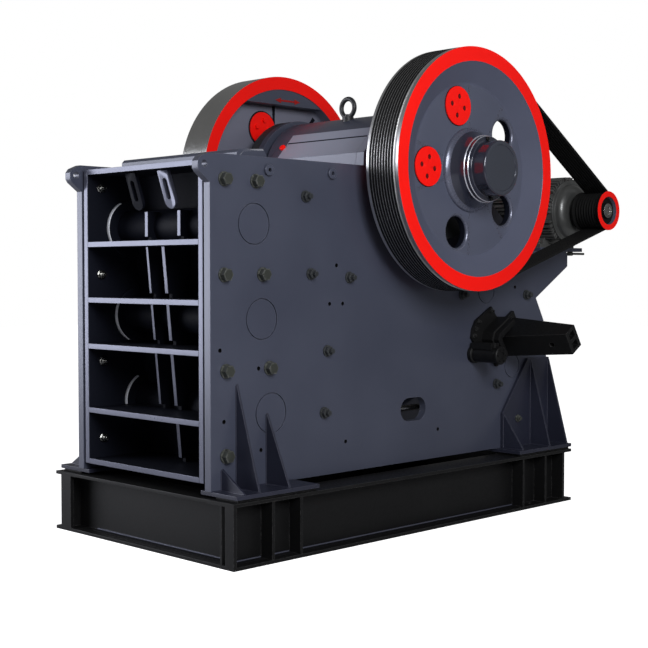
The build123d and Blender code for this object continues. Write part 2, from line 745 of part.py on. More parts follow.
belt_seat = BELT_T - BELT_RISE + BELT_GAP
plain = flywheel()
put("plain_flywheel", far(plain), STEEL)
driven = flywheel()
driven -= ring_y(WHEEL_R + 5, WHEEL_R - belt_seat, -BELT_IN - BELT_W, -BELT_IN, AX, AZ)
put("drive_flywheel", driven, STEEL)


def cover(angle, face, outward):
    """Cover plate on a wheel's web, with the plug that fills the hole behind it."""
    x, z = wheel_place(angle)
    outer = face + outward * COVER_T
    plug = face - outward * COVER_PLUG
    disc = rod_y(COVER_R, min(face, outer), max(face, outer), x, z)
    disc += rod_y(WHEEL_HOLE_R - 2, min(face, plug), max(face, plug), x, z)
    return disc


covers = [cover(angle, -WEB_OUT, -1) for angle in COVERED_NEAR]
covers.append(cover(COVERED_FAR, WEB_IN, -1))
put("balance_covers", Compound(children=covers), RED)

segment = rod_y(RIM_IN_R - RUN_GAP, WHEEL_IN + 6, WEB_IN - 1, AX, AZ)
segment &= block(AX - WHEEL_R, AX + WHEEL_R, WHEEL_IN, WEB_IN - 0.3, AZ + SEGMENT_CHORD, AZ + WHEEL_R)
put("counterweight", segment, SLATE)

cap_outline = [
    (0, -HUB_FACE),
    (CAP_R + 10, -HUB_FACE),
    (CAP_R + 10, -HUB_FACE - 30),
    (CAP_R, -HUB_FACE - 40),
    (CAP_R, -CAP_FACE + 12),
    (CAP_R - 12, -CAP_FACE),
    (0, -CAP_FACE),
]
cap = Pos(AX, 0, AZ) * revolve(make_face(Polyline(*cap_outline, close=True)), axis=Axis.Y)
put("hub_caps", Compound(children=[cap, far(cap)]), SLATE)


# drive belt: one band of joined V-belts
def loop_solid(ra, rb, y0, y1):
    """Solid inside a belt line round both pulleys, between two Y values."""
    d = math.hypot(MX - AX, MZ - AZ)
    phi = math.atan2(MZ - AZ, MX - AX)
    beta = math.acos((ra - rb) / d)
    outline = []
    for turn, ends in ((beta, ((AX, AZ, ra), (MX, MZ, rb))), (-beta, ((MX, MZ, rb), (AX, AZ, ra)))):
        for cx, cz, r in ends:
            outline.append((cx + r * math.cos(phi + turn), cz + r * math.sin(phi + turn)))
    body = prism(outline, y0, y1)
    body += rod_y(ra, y0, y1, AX, AZ)
    body += rod_y(rb, y0, y1, MX, MZ)
    return body


belt_y0 = -BELT_IN - BELT_W + BELT_SIDE
belt_y1 = -BELT_IN - BELT_SIDE
belt_inside = BELT_T - BELT_RISE
belt = loop_solid(WHEEL_R + BELT_RISE, PULLEY_R + BELT_RISE, belt_y0, belt_y1)
belt -= loop_solid(WHEEL_R - belt_inside, PULLEY_R - belt_inside, belt_y0 - 1, belt_y1 + 1)
put("drive_belt", belt, BLACK)

# motor
pulley = rod_y(PULLEY_FLANGE_R, -PULLEY_OUT, -PULLEY_IN, MX, MZ)
pulley -= ring_y(PULLEY_FLANGE_R + 5, PULLEY_R - belt_seat, -BELT_IN - BELT_W, -BELT_IN, MX, MZ)
pulley += rod_y(MOTOR_SHAFT_R, -PULLEY_IN - 5, -MOTOR_NEAR + MOTOR_SHAFT_IN, MX, MZ)
put("motor_pulley", pulley, DARK)

SHIELD_T = 60.0
SHIELD_R = MOTOR_R - 50.0
motor = rod_y(MOTOR_R, -MOTOR_NEAR + SHIELD_T, MOTOR_FAR - SHIELD_T, MX, MZ)
motor += rod_y(SHIELD_R, -MOTOR_NEAR, MOTOR_FAR, MX, MZ)
motor -= rod_y(MOTOR_SHAFT_R + RUN_GAP, -MOTOR_NEAR - 1, -MOTOR_NEAR + MOTOR_SHAFT_IN + 5, MX, MZ)
foot_z = HORN_TOP + RAIL_T
for y in (-MOTOR_NEAR + 200, MOTOR_FAR - 270):
    motor += block(MX - 250, MX + 210, y - 60, y + 60, foot_z, foot_z + RAIL_T)
    motor += block(MX - 200, MX + 200, y - 50, y + 50, foot_z, MZ - 100)
motor += block(MX - 110, MX + 110, -330, -80, MZ + MOTOR_R - 60, MZ + MOTOR_R + 90)
put("motor", motor, DARK)

base_plate = block(RAIL_FRONT, MX + 215, -PLATE_OUT, PLATE_OUT, HORN_TOP, HORN_TOP + RAIL_T)
put("motor_base", base_plate, SLATE)


# feet
def foot(span, gussets, stand):
    """Foot plate with gussets that stand against the plate or its doubler."""
    body = block(span[0], span[1], -FOOT_OUT, -PLATE_IN + FOOT_UNDER, BASE_H + PAD_T, PLATE_BOTTOM)
    for x, top in gussets:
        outline = [
            (-stand, PLATE_BOTTOM - 5),
            (-FOOT_OUT + GUSSET_TOE, PLATE_BOTTOM - 5),
            (-FOOT_OUT + GUSSET_TOE, PLATE_BOTTOM + 4),
            (-stand - 4, top),
            (-stand, top),
        ]
        plane = Plane(origin=(x - GUSSET_T / 2, 0, 0), x_dir=(0, 1, 0), z_dir=(1, 0, 0))
        body += extrude(plane * make_face(Polyline(*outline, close=True)), amount=GUSSET_T)
    return body


front_foot = foot(FRONT_FOOT, FRONT_GUSSETS, PLATE_OUT)
rear_foot = foot(REAR_FOOT, REAR_GUSSETS, PLATE_OUT + DOUBLER_T)
put("front_feet", Compound(children=[front_foot, far(front_foot)]), SLATE)
put("rear_feet", Compound(children=[rear_foot, far(rear_foot)]), SLATE)

doubler_outline = [
    (1137, PLATE_BOTTOM),
    (1137, 705),
    (1446, 1104),
    (1721, 1104),
    (1755, PLATE_BOTTOM),
]
doubler = prism(doubler_outline, -PLATE_OUT - DOUBLER_T, -PLATE_OUT)
put("foot_doublers", Compound(children=[doubler, far(doubler)]), SLATE)

pads = []
for x0, x1 in (FRONT_FOOT, REAR_FOOT):
    pad = block(x0 + 20, x1 - 20, -FOOT_OUT + 12, -cross_half - 12, BASE_H, BASE_H + PAD_T)
    pads.append(pad)
    pads.append(far(pad))
put("foot_pads", Compound(children=pads), BLACK)

# lifting eye on the jaw's head
EYE_X = 200.0
EYE_R = 66.0
EYE_WIRE_R = 17.0
EYE_COLLAR_R = 42.0
eye_base = AZ + math.sqrt(BARREL_R**2 - (AX - EYE_X) ** 2)
eye = Pos(EYE_X, 0, eye_base) * Cylinder(EYE_COLLAR_R, 42)
eye += Pos(EYE_X, 0, eye_base + 24) * Cylinder(24, 30)
eye += Pos(EYE_X, 0, eye_base + 86) * Rot(0, 90, 0) * Torus(EYE_R, EYE_WIRE_R)
eye -= rod_y(BARREL_R + RUN_GAP, -200, 200, AX, AZ)
put("lifting_eye", eye, DARK)

for name, shape in OUT.items():
    shape.label = name
    export_step(shape, f"parts/{name}.step")
print(len(OUT), "nodes")
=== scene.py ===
import json
import math

import bmesh
import bpy
from mathutils import Matrix, Vector


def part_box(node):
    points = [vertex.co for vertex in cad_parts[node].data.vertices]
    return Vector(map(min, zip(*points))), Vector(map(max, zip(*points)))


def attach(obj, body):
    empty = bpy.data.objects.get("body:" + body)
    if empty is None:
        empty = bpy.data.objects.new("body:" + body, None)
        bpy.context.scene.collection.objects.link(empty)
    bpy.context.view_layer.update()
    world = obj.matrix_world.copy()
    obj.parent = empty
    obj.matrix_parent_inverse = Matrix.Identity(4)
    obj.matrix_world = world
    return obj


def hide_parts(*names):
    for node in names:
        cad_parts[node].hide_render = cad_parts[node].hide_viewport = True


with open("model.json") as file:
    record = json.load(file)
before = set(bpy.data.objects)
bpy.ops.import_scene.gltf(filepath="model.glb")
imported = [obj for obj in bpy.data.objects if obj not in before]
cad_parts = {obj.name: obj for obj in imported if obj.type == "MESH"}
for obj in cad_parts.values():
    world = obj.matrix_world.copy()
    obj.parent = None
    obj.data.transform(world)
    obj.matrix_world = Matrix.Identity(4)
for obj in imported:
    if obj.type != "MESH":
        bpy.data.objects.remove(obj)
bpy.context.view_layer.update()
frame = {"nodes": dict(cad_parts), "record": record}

# camera at the photograph's angle
EYE = (-6.672, -6.675, 1.765)
EYE_YAW = 44.78
EYE_PITCH = -2.286
EYE_FOCUS = 1294.5 / 648.0
SENSOR = 36.0

cam_data = bpy.data.cameras.new("photo_view")
cam = bpy.data.objects.new("photo_view", cam_data)
bpy.context.scene.collection.objects.link(cam)
cam.location = EYE
cam.rotation_euler = (math.radians(90.0 + EYE_PITCH), 0.0, math.radians(-EYE_YAW))
cam_data.sensor_width = SENSOR
cam_data.lens = SENSOR * EYE_FOCUS
bpy.context.scene.camera = cam
bpy.context.scene.view_settings.view_transform = "Standard"


# paints and metals
def node(tree, kind, **values):
    """Adds a shader node and sets its choices."""
    made = tree.nodes.new(kind)
    for key, value in values.items():
        setattr(made, key, value)
    return made


def between(tree, value, low, high, to_low, to_high):
    """Maps a value's range onto another and gives the socket."""
    ramp = node(tree, "ShaderNodeMapRange")
    ramp.inputs["From Min"].default_value = low
    ramp.inputs["From Max"].default_value = high
    ramp.inputs["To Min"].default_value = to_low
    ramp.inputs["To Max"].default_value = to_high
    tree.links.new(value, ramp.inputs["Value"])
    return ramp.outputs["Result"]


def noise(tree, place, scale, detail):
    """Cloudy noise at a scale; gives the socket."""
    grain = node(tree, "ShaderNodeTexNoise")
    grain.inputs["Scale"].default_value = scale
    grain.inputs["Detail"].default_value = detail
    tree.links.new(place, grain.inputs["Vector"])
    return grain.outputs["Fac"]


def mixed(tree, factor, first, second):
    """Colour mix; each colour is a socket or a plain colour."""
    mix = node(tree, "ShaderNodeMix", data_type="RGBA")
    tree.links.new(factor, mix.inputs["Factor"])
    for name, colour in (("A", first), ("B", second)):
        if isinstance(colour, tuple):
            mix.inputs[name].default_value = (*colour, 1.0)
        else:
            tree.links.new(colour, mix.inputs[name])
    return mix.outputs["Result"]


def worn_edge(tree, radius=0.008):
    """High on sharp outer edges, where paint rubs thin."""
    soft = node(tree, "ShaderNodeBevel", samples=4)
    soft.inputs["Radius"].default_value = radius
    flat = node(tree, "ShaderNodeNewGeometry")
    near = node(tree, "ShaderNodeVectorMath", operation="DOT_PRODUCT")
    tree.links.new(soft.outputs["Normal"], near.inputs[0])
    tree.links.new(flat.outputs["Normal"], near.inputs[1])
    return between(tree, near.outputs["Value"], 0.97, 0.80, 0.0, 1.0)


def finish(name, colour, shade, rough, rough_spread, metal=0.0, wear=None, wear_amount=0.5,
           patch_scale=1.6, grain_scale=60.0, bump=0.1, coat=0.0, spec=0.5):
    """Painted or bare metal with colour patches, fine grain, worn edges and a little relief."""
    mat = bpy.data.materials.new(name)
    mat.use_nodes = True
    tree = mat.node_tree
    shader = tree.nodes["Principled BSDF"]
    shader.inputs["Metallic"].default_value = metal
    shader.inputs["Coat Weight"].default_value = coat
    shader.inputs["Specular IOR Level"].default_value = spec
    place = node(tree, "ShaderNodeTexCoord").outputs["Object"]
    patches = noise(tree, place, patch_scale, 5.0)
    grain = noise(tree, place, grain_scale, 3.0)
    tone = mixed(tree, between(tree, patches, 0.3, 0.7, 0.0, 1.0), colour, shade)
    if wear:
        broken = node(tree, "ShaderNodeMath", operation="MULTIPLY")
        tree.links.new(worn_edge(tree), broken.inputs[0])
        tree.links.new(between(tree, grain, 0.35, 0.65, 0.0, wear_amount), broken.inputs[1])
        tone = mixed(tree, broken.outputs["Value"], tone, wear)
    tree.links.new(tone, shader.inputs["Base Color"])
    gloss = between(tree, grain, 0.2, 0.8, rough - rough_spread, rough + rough_spread)
    tree.links.new(gloss, shader.inputs["Roughness"])
    relief = node(tree, "ShaderNodeBump")
    relief.inputs["Strength"].default_value = bump
    relief.inputs["Distance"].default_value = 0.002
    tree.links.new(grain, relief.inputs["Height"])
    tree.links.new(relief.outputs["Normal"], shader.inputs["Normal"])
    return mat


slate = finish("slate_paint", (0.066, 0.073, 0.106), (0.052, 0.058, 0.087),
               0.34, 0.03, metal=0.2, wear=(0.20, 0.21, 0.26), bump=0.02)
# darker slate for the feet, their doublers and welds: a painted shade low down on the machine
foot_shade_slate = finish("foot_shade_paint", (0.024, 0.026, 0.045), (0.018, 0.020, 0.034),
                   0.38, 0.06, metal=0.2, wear=(0.12, 0.12, 0.16), wear_amount=0.6, bump=0.05)
web_slate = finish("web_slate_paint", (0.098, 0.108, 0.155), (0.080, 0.089, 0.130),
                   0.30, 0.03, metal=0.2, wear=(0.22, 0.23, 0.28), wear_amount=0.4, bump=0.02)
# lit copies of the slate for the head guard: painted light on its sloping face, and a darker one on its foot
# face
lit_guard_slate = finish("lit_guard_paint", (0.320, 0.335, 0.420), (0.285, 0.298, 0.375),
                     0.34, 0.03, metal=0.2, bump=0.02)
guard_foot_lit_slate = finish("light_slate_paint", (0.115, 0.122, 0.165), (0.095, 0.101, 0.138),
                     0.34, 0.03, metal=0.2, bump=0.02)
# lighter slate on the far wheel's web: painted light
far_web_lit_slate = finish("far_web_lit_paint", (0.190, 0.195, 0.255), (0.160, 0.165, 0.215),
                   0.34, 0.03, metal=0.2, bump=0.02)
# lighter, glossier paint for the hub's shoulder and the holes' rims: partly a painted highlight
shoulder_highlight_gloss = finish("hub_shoulder_highlight_paint", (0.110, 0.118, 0.165), (0.095, 0.102, 0.143),
                    0.28, 0.03, metal=0.4, bump=0.01, coat=0.3)
dull_slate = finish("dull_slate_paint", (0.090, 0.098, 0.140), (0.078, 0.085, 0.122),
                    0.75, 0.03, bump=0.02, spec=0.05)
# lighter slate for the clamp bar's lit bevel: a painted highlight
clamp_highlight_slate = finish("pale_slate_paint", (0.085, 0.090, 0.120), (0.070, 0.075, 0.100),
                    0.34, 0.03, metal=0.2, wear=(0.25, 0.26, 0.32), wear_amount=0.4, bump=0.02)
# lit copy of the slate for edges that face the light: a painted highlight
lit_edge_paint = finish("lit_edge_paint", (0.118, 0.125, 0.170), (0.097, 0.102, 0.142),
                    0.30, 0.04, metal=0.4, bump=0.02)
# lighter slate for the plates' front edges that face the light: a painted highlight
lit_front_slate = finish("front_edge_paint", (0.092, 0.098, 0.132), (0.076, 0.081, 0.110),
                     0.32, 0.04, metal=0.3, bump=0.02)
# pale paint for the collars' lit edges: a painted highlight
collar_highlight = finish("pale_edge_paint", (0.80, 0.82, 0.88), (0.66, 0.68, 0.75), 0.35, 0.04, bump=0.02)
# pale metal paint for edges that catch the light: a painted highlight on the lugs, the hubs and the caps
painted_highlight = finish("painted_highlight", (0.55, 0.56, 0.62), (0.42, 0.43, 0.48),
                     0.28, 0.05, metal=0.6, bump=0.04)
# near-black paint for the insides of the bays and the wheels' hole walls: a painted shade
bay_shade_paint = finish("bay_shade_paint", (0.006, 0.007, 0.013), (0.004, 0.005, 0.009),
                   0.62, 0.06, wear=(0.03, 0.03, 0.05), wear_amount=0.3, bump=0.04, spec=0.1)
black = finish("black_paint", (0.0045, 0.0045, 0.0048), (0.0065, 0.0065, 0.0067),
               0.46, 0.1, wear=(0.10, 0.10, 0.10), wear_amount=0.6, bump=0.06, spec=0.2)
red = finish("red_paint", (1.0, 0.008, 0.004), (0.90, 0.007, 0.004),
             0.42, 0.06, wear=(0.70, 0.05, 0.03), wear_amount=0.3, bump=0.04, spec=0.15)
# darker red for the turning arrow: a painted shade
arrow_shade_red = finish("dark_red_paint", (0.36, 0.008, 0.006), (0.27, 0.007, 0.005),
                  0.40, 0.06, wear=(0.45, 0.03, 0.02), wear_amount=0.3, bump=0.04, spec=0.25)
# darker red for the covers' screw recesses: a painted shade
recess_shade_red = finish("deep_red_paint", (0.110, 0.006, 0.006), (0.080, 0.005, 0.005),
                  0.45, 0.05, bump=0.02, spec=0.2)
steel = finish("machined_steel", (0.42, 0.42, 0.40), (0.34, 0.34, 0.33),
               0.24, 0.08, metal=1.0, wear=(0.7, 0.7, 0.7), bump=0.03)
rim_steel = finish("turned_rim_steel", (0.60, 0.60, 0.59), (0.50, 0.50, 0.49),
                   0.20, 0.05, metal=1.0, wear=(0.8, 0.8, 0.8), bump=0.02)
groove_steel = finish("grooved_rim_steel", (0.60, 0.60, 0.60), (0.50, 0.50, 0.50),
                      0.36, 0.06, metal=1.0, wear=(0.6, 0.6, 0.6), bump=0.02)
hub_gloss = finish("glossy_hub_paint", (0.034, 0.037, 0.055), (0.028, 0.030, 0.046),
                   0.17, 0.03, metal=0.3, bump=0.02, coat=0.4)
cap_grey = finish("cap_face_paint", (0.040, 0.045, 0.060), (0.032, 0.036, 0.048),
                  0.42, 0.05, metal=0.1, bump=0.03)
olive = finish("dark_oiled_steel", (0.062, 0.066, 0.056), (0.044, 0.048, 0.042),
               0.36, 0.1, metal=0.5, wear=(0.30, 0.31, 0.29), wear_amount=0.7, bump=0.1)
cast = finish("dark_casting", (0.030, 0.032, 0.034), (0.022, 0.024, 0.026),
              0.44, 0.1, metal=0.2, wear=(0.14, 0.15, 0.15), bump=0.3, grain_scale=140.0)
motor_grey = finish("motor_paint", (0.130, 0.130, 0.126), (0.098, 0.098, 0.095),
                    0.34, 0.06, metal=0.4, wear=(0.30, 0.31, 0.31), bump=0.06)
manganese = finish("manganese_casting", (0.20, 0.19, 0.18), (0.13, 0.115, 0.10),
                   0.45, 0.12, metal=0.8, wear=(0.5, 0.5, 0.5), wear_amount=0.8, bump=0.5,
                   grain_scale=90.0)
rubber = finish("belt_rubber", (0.0025, 0.0025, 0.0025), (0.0040, 0.0040, 0.0040),
                0.62, 0.1, bump=0.2, spec=0.2)
gloss_dark = finish("glossy_dark_paint", (0.105, 0.107, 0.104), (0.080, 0.082, 0.080),
                    0.38, 0.05, metal=0.5, wear=(0.20, 0.20, 0.20), wear_amount=0.4, bump=0.03, coat=0.2)
soft_black = finish("soft_black_paint", (0.0035, 0.0035, 0.0038), (0.0050, 0.0050, 0.0054),
                    0.50, 0.06, bump=0.04, spec=0.25)
# near-black paint for painted shade: inside tapped holes, grease bosses and the guard's seam, under the covers'
# rims and along the base's flutes
hole_shade_black = finish("hole_shade_black", (0.004, 0.004, 0.005), (0.006, 0.006, 0.007),
                    0.7, 0.1, bump=0.1, spec=0.1)

FINISH_OF_SLOT = {"slate": slate, "black": black, "red": red, "steel": steel, "cast": cast,
                  "belt": rubber, "manganese": manganese}
slot_of_node = {part["node"]: part["material_slot"] for part in frame["record"]["subparts"]}
body_of_node = {name: body for body, names in frame["record"]["behaviour"]["bodies"].items() for name in names}
for name, part in frame["nodes"].items():
    part.data.materials.clear()
    part.data.materials.append(FINISH_OF_SLOT[slot_of_node[name]])

# main places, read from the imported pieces
plate_low, plate_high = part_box("side_plate_near")
shaft_low, shaft_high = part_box("main_shaft")
wheel_low, wheel_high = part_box("drive_flywheel")
belt_low, belt_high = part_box("drive_belt")
pulley_low, pulley_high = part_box("motor_pulley")
motor_low, motor_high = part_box("motor")
PLATE_OUT = -plate_low.y
SHAFT_X = (shaft_low.x + shaft_high.x) / 2
SHAFT_Z = (shaft_low.z + shaft_high.z) / 2
WHEEL_R = (wheel_high.x - wheel_low.x) / 2
PULLEY_X = (pulley_low.x + pulley_high.x) / 2
PULLEY_Z = (pulley_low.z + pulley_high.z) / 2
FRONT_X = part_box("front_flanges")[0].x

# ways of working
MERGE = 0.00002


def take_all():
    """In edit mode, selects the whole mesh."""
    bpy.ops.mesh.select_all(action="SELECT")


def take_none():
    """In object mode, leaves no piece selected."""
    bpy.ops.object.select_all(action="DESELECT")


def alone(piece):
    """Selects one piece and makes it the active one."""
    take_none()
    piece.select_set(True)
    bpy.context.view_layer.objects.active = piece


def edit(piece):
    """Opens one piece in edit mode."""
    alone(piece)
    bpy.ops.object.mode_set(mode="EDIT")
    bpy.ops.mesh.select_mode(type="VERT")


def leave_edit():
    """Back to object mode."""
    bpy.ops.object.mode_set(mode="OBJECT")


def settled(name):
    """Names the new primitive and puts its place into its mesh."""
    piece = bpy.context.object
    piece.name = name
    piece.data.name = name
    bpy.ops.object.transform_apply(location=True, rotation=True, scale=True)
    return piece


def drum(name, r, depth, place, sides=48, turn=(90.0, 0.0, 0.0)):
    """Cylinder primitive that lies along Y unless it is turned."""
    take_none()
    angles = [math.radians(a) for a in turn]
    bpy.ops.mesh.primitive_cylinder_add(vertices=sides, radius=r, depth=depth, location=place, rotation=angles)
    return settled(name)


def brick(name, low, high):
    """Cube primitive between two corners."""
    low = Vector(low)
    high = Vector(high)
    take_none()
    bpy.ops.mesh.primitive_cube_add(size=1.0, location=(low + high) / 2)
    bpy.context.object.scale = high - low
    return settled(name)


def pick_faces(piece, test):
    """In edit mode, selects the faces whose middle and normal pass a test."""
    bpy.ops.mesh.select_mode(type="FACE")
    bpy.ops.mesh.select_all(action="DESELECT")
    mesh = bmesh.from_edit_mesh(piece.data)
    for face in mesh.faces:
        face.select_set(bool(test(face.calc_center_median(), face.normal)))
    bmesh.update_edit_mesh(piece.data)


def faces_near(middle, normal):
    """True for faces that look along -Y."""
    return normal.y < -0.9


def faces_up(middle, normal):
    """True for faces that look up."""
    return normal.z > 0.9


def pushed(piece, test, inset, push):
    """Insets the faces that pass a test, then extrudes them by a vector."""
    edit(piece)
    pick_faces(piece, test)
    bpy.ops.mesh.inset(thickness=inset)
    bpy.ops.mesh.extrude_region_move(TRANSFORM_OT_translate={"value": push})
    leave_edit()
    return piece


def modified(piece, kind, **settings):
    """Adds one modifier to a piece and applies it."""
    alone(piece)
    modifier = piece.modifiers.new(kind.title(), kind)
    for key, value in settings.items():
        setattr(modifier, key, value)
    bpy.ops.object.modifier_apply(modifier=modifier.name)
    return piece


def eased(piece, width, segments=2, angle=35.0):
    """Rounds the sharp edges and keeps the flats flat in the shading."""
    modified(piece, "BEVEL", width=width, segments=segments, limit_method="ANGLE",
             angle_limit=math.radians(angle))
    return shaded(piece, angle)


def shaded(piece, angle=35.0):
    """Smooth across edges flatter than the angle, sharp at the others."""
    alone(piece)
    bpy.ops.object.shade_smooth_by_angle(angle=math.radians(angle))
    modified(piece, "WEIGHTED_NORMAL", keep_sharp=True)
    return piece


def tidied(piece, distance=MERGE):
    """Merges doubles and turns the faces outwards."""
    edit(piece)
    take_all()
    bpy.ops.mesh.remove_doubles(threshold=distance)
    bpy.ops.mesh.normals_make_consistent(inside=False)
    leave_edit()
    return piece


def drawn(name, corners):
    """Wire drawn from corner to corner by extruding a vertex; left in edit mode."""
    take_none()
    bpy.ops.mesh.primitive_plane_add(size=0.01, location=corners[0])
    piece = settled(name)
    edit(piece)
    take_all()
    bpy.ops.mesh.merge(type="CENTER")
    for here, there in zip(corners, corners[1:]):
        step = Vector(there) - Vector(here)
        bpy.ops.mesh.extrude_vertices_move(TRANSFORM_OT_translate={"value": step})
    return piece


def closed_line(name, corners):
    """Closed wire through the corners; left in edit mode, all selected."""
    piece = drawn(name, list(corners) + [corners[0]])
    take_all()
    bpy.ops.mesh.remove_doubles(threshold=MERGE)
    take_all()
    return piece


def slab(name, corners, push):
    """Plate: an outline drawn corner by corner, filled and pushed out to its thickness."""
    piece = closed_line(name, corners)
    bpy.ops.mesh.edge_face_add()
    bpy.ops.mesh.extrude_region_move(TRANSFORM_OT_translate={"value": push})
    leave_edit()
    return tidied(piece)


def turned(name, outline, x=0.0, z=0.0, steps=96):
    """Turned piece: an outline of (radius, y) corners spun about an axle along Y."""
    piece = drawn(name, [(x + radius, y, z) for radius, y in outline])
    take_all()
    bpy.ops.mesh.spin(steps=steps, angle=2 * math.pi, center=(x, 0.0, z), axis=(0.0, 1.0, 0.0))
    leave_edit()
    return tidied(piece)


def arc(r, y, radius, start, end, steps=6):
    """Corners of a fillet in a turned outline: a round about (r, y), angles from the radius towards +Y."""
    corners = []
    for k in range(steps + 1):
        a = math.radians(start + (end - start) * k / steps)
        corners.append((r + radius * math.cos(a), y + radius * math.sin(a)))
    return corners


def cut(piece, cutter):
    """Takes a cutter out of a piece and removes the cutter."""
    modified(piece, "BOOLEAN", object=cutter, operation="DIFFERENCE", solver="EXACT")
    bpy.data.objects.remove(cutter)
    return piece


def joined(name, pieces):
    """Several pieces made into one."""
    take_none()
    for piece in pieces:
        piece.select_set(True)
    bpy.context.view_layer.objects.active = pieces[0]
    if len(pieces) > 1:
        bpy.ops.object.join()
    pieces[0].name = name
    pieces[0].data.name = name
    return pieces[0]


def copied(template, place):
    """Copy with its own mesh, put in place."""
    twin = bpy.data.objects.new(template.name + "_copy", template.data.copy())
    twin.data.transform(place)
    bpy.context.scene.collection.objects.link(twin)
    return twin


def spread(name, template, places):
    """A template copied to each place, the copies joined into one piece, the template removed."""
    copies = [copied(template, place) for place in places]
    bpy.data.objects.remove(template)
    return joined(name, copies)


TURN_TO = {
    "near": Matrix.Identity(4),
    "far": Matrix.Rotation(math.pi, 4, "Z"),
    "front": Matrix.Rotation(-math.pi / 2, 4, "Z"),
    "rear": Matrix.Rotation(math.pi / 2, 4, "Z"),
    "up": Matrix.Rotation(-math.pi / 2, 4, "X"),
}


def at(x, y, z, side="near"):
    """Place for a template made at the origin that points along -Y."""
    return Matrix.Translation((x, y, z)) @ TURN_TO[side]


def mirrored(name, piece, angle=35.0):
    """The same piece on the far side, with its faces turned outwards and shaded anew."""
    twin = copied(piece, Matrix.Scale(-1.0, 4, (0.0, 1.0, 0.0)))
    twin.name = name
    twin.data.name = name
    edit(twin)
    bpy.ops.mesh.customdata_custom_splitnormals_clear()
    take_all()
    bpy.ops.mesh.normals_make_consistent(inside=False)
    leave_edit()
    return shaded(twin, angle)


def painted(piece, *finishes, choose=None):
    """Gives a piece its finishes; choose names the finish of a face by its middle and normal."""
    piece.data.materials.clear()
    for mat in finishes:
        piece.data.materials.append(mat)
    for face in piece.data.polygons:
        face.material_index = choose(face.center, face.normal) if choose else 0
    return piece


def placed(piece, body, slot, *nodes):
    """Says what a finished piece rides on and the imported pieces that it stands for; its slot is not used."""
    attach(piece, body)
    if nodes:
        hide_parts(*nodes)
    return piece


def merged_copy(name):
    """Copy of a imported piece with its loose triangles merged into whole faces."""
    piece = copied(frame["nodes"][name], Matrix.Identity(4))
    piece.name = name + "_finished"
    piece.data.name = piece.name
    edit(piece)
    bpy.ops.mesh.customdata_custom_splitnormals_clear()
    take_all()
    bpy.ops.mesh.remove_doubles(threshold=MERGE)
    bpy.ops.mesh.dissolve_limited(angle_limit=math.radians(0.6))
    leave_edit()
    return piece


# fasteners, modelled once at the origin and pointing along -Y
HEX_CORNER = 0.577
WASHER_T = 0.008


def hex_bolt(name, across, height, washer=0.0, stud=0.0):
    """Hex head with its chamfer, a washer behind it and a stud end where the bolt is long."""
    head = drum(name, across * HEX_CORNER, height, (0.0, -height / 2, 0.0), sides=6)
    alone(head)
    bpy.ops.transform.rotate(value=math.radians(30.0), orient_axis="Y", center_override=(0.0, 0.0, 0.0))
    bpy.ops.object.transform_apply(location=True, rotation=True, scale=True)
    chamfer = across * 0.07
    pushed(head, faces_near, chamfer, (0.0, -chamfer * 0.6, 0.0))
    parts = [eased(head, across * 0.02)]
    if washer:
        ring = drum(name + "_washer", washer, WASHER_T, (0.0, -WASHER_T / 2, 0.0), sides=28)
        parts.append(shaded(pushed(ring, faces_near, washer * 0.12, (0.0, -0.001, 0.0))))
    if stud:
        tip = drum(name + "_stud", across * 0.32, stud, (0.0, -height - stud / 2, 0.0), sides=18)
        parts.append(shaded(pushed(tip, faces_near, across * 0.05, (0.0, -across * 0.05, 0.0))))
    return joined(name, parts)


def dressed_bolts(name, template, places, mat, body, slot="cast"):
    """One kind of bolt set at its places, painted and carried by a body."""
    piece = spread(name, template, places)
    painted(piece, mat)
    return placed(piece, body, slot)


# side plates: eased edges, weld grooves round the cross tubes and tapped holes
TUBES = ((-1.348, 2.063), (-1.285, 1.474), (-1.208, 0.883))
TUBE_R = 0.122
REAR_TUBES = ((0.959, 1.626, 0.088), (1.277, 1.055, 0.084))
GROOVE_T = 0.0085
GROOVE_DEEP = 0.010
TAPPED_HOLES = ((-0.624, 1.811), (-0.688, 1.559), (-0.566, 1.559), (0.408, 0.644), (-0.537, 0.642),
                (1.310, 1.653), (-1.624, 1.293), (-1.311, 1.168), (-1.594, 0.858), (-1.293, 0.658))
HOLE_R = 0.0135
HOLE_DEEP = 0.035
CUT_PROUD = 0.010


def groove_cutter(x, z, r):
    """Thin ring that cuts a groove into the near plate's face."""
    y0 = -PLATE_OUT - CUT_PROUD
    y1 = -PLATE_OUT + GROOVE_DEEP
    outline = [(r, y0), (r + GROOVE_T, y0), (r + GROOVE_T, y1), (r, y1), (r, y0)]
    return turned("groove_cutter", outline, x, z, steps=64)


def side_plate():
    """Near plate with its grooves and holes cut."""
    plate = eased(merged_copy("side_plate_near"), 0.004)
    cutters = [groove_cutter(x, z, TUBE_R) for x, z in TUBES]
    cutters += [groove_cutter(*tube) for tube in REAR_TUBES]
    for x, z in TAPPED_HOLES:
        place = (x, -PLATE_OUT + HOLE_DEEP / 2 - CUT_PROUD, z)
        cutters.append(drum("hole_cutter", HOLE_R, HOLE_DEEP + 2 * CUT_PROUD, place, sides=20))
    return shaded(cut(plate, joined("plate_cutters", cutters)))


def plate_finish(middle, normal):
    """Front edges pale, a painted highlight; tapped holes painted black inside, a painted shade; the rest
    slate.
    """
    if normal.x < -0.9 and middle.x < FRONT_X + 0.05 or middle.x < FRONT_X - 0.02 and abs(normal.y) < 0.9:
        return 1
    for x, z in TAPPED_HOLES:
        if math.hypot(middle.x - x, middle.z - z) < HOLE_R * 1.2 and abs(middle.y) < PLATE_OUT - 0.001:
            return 2
    return 0


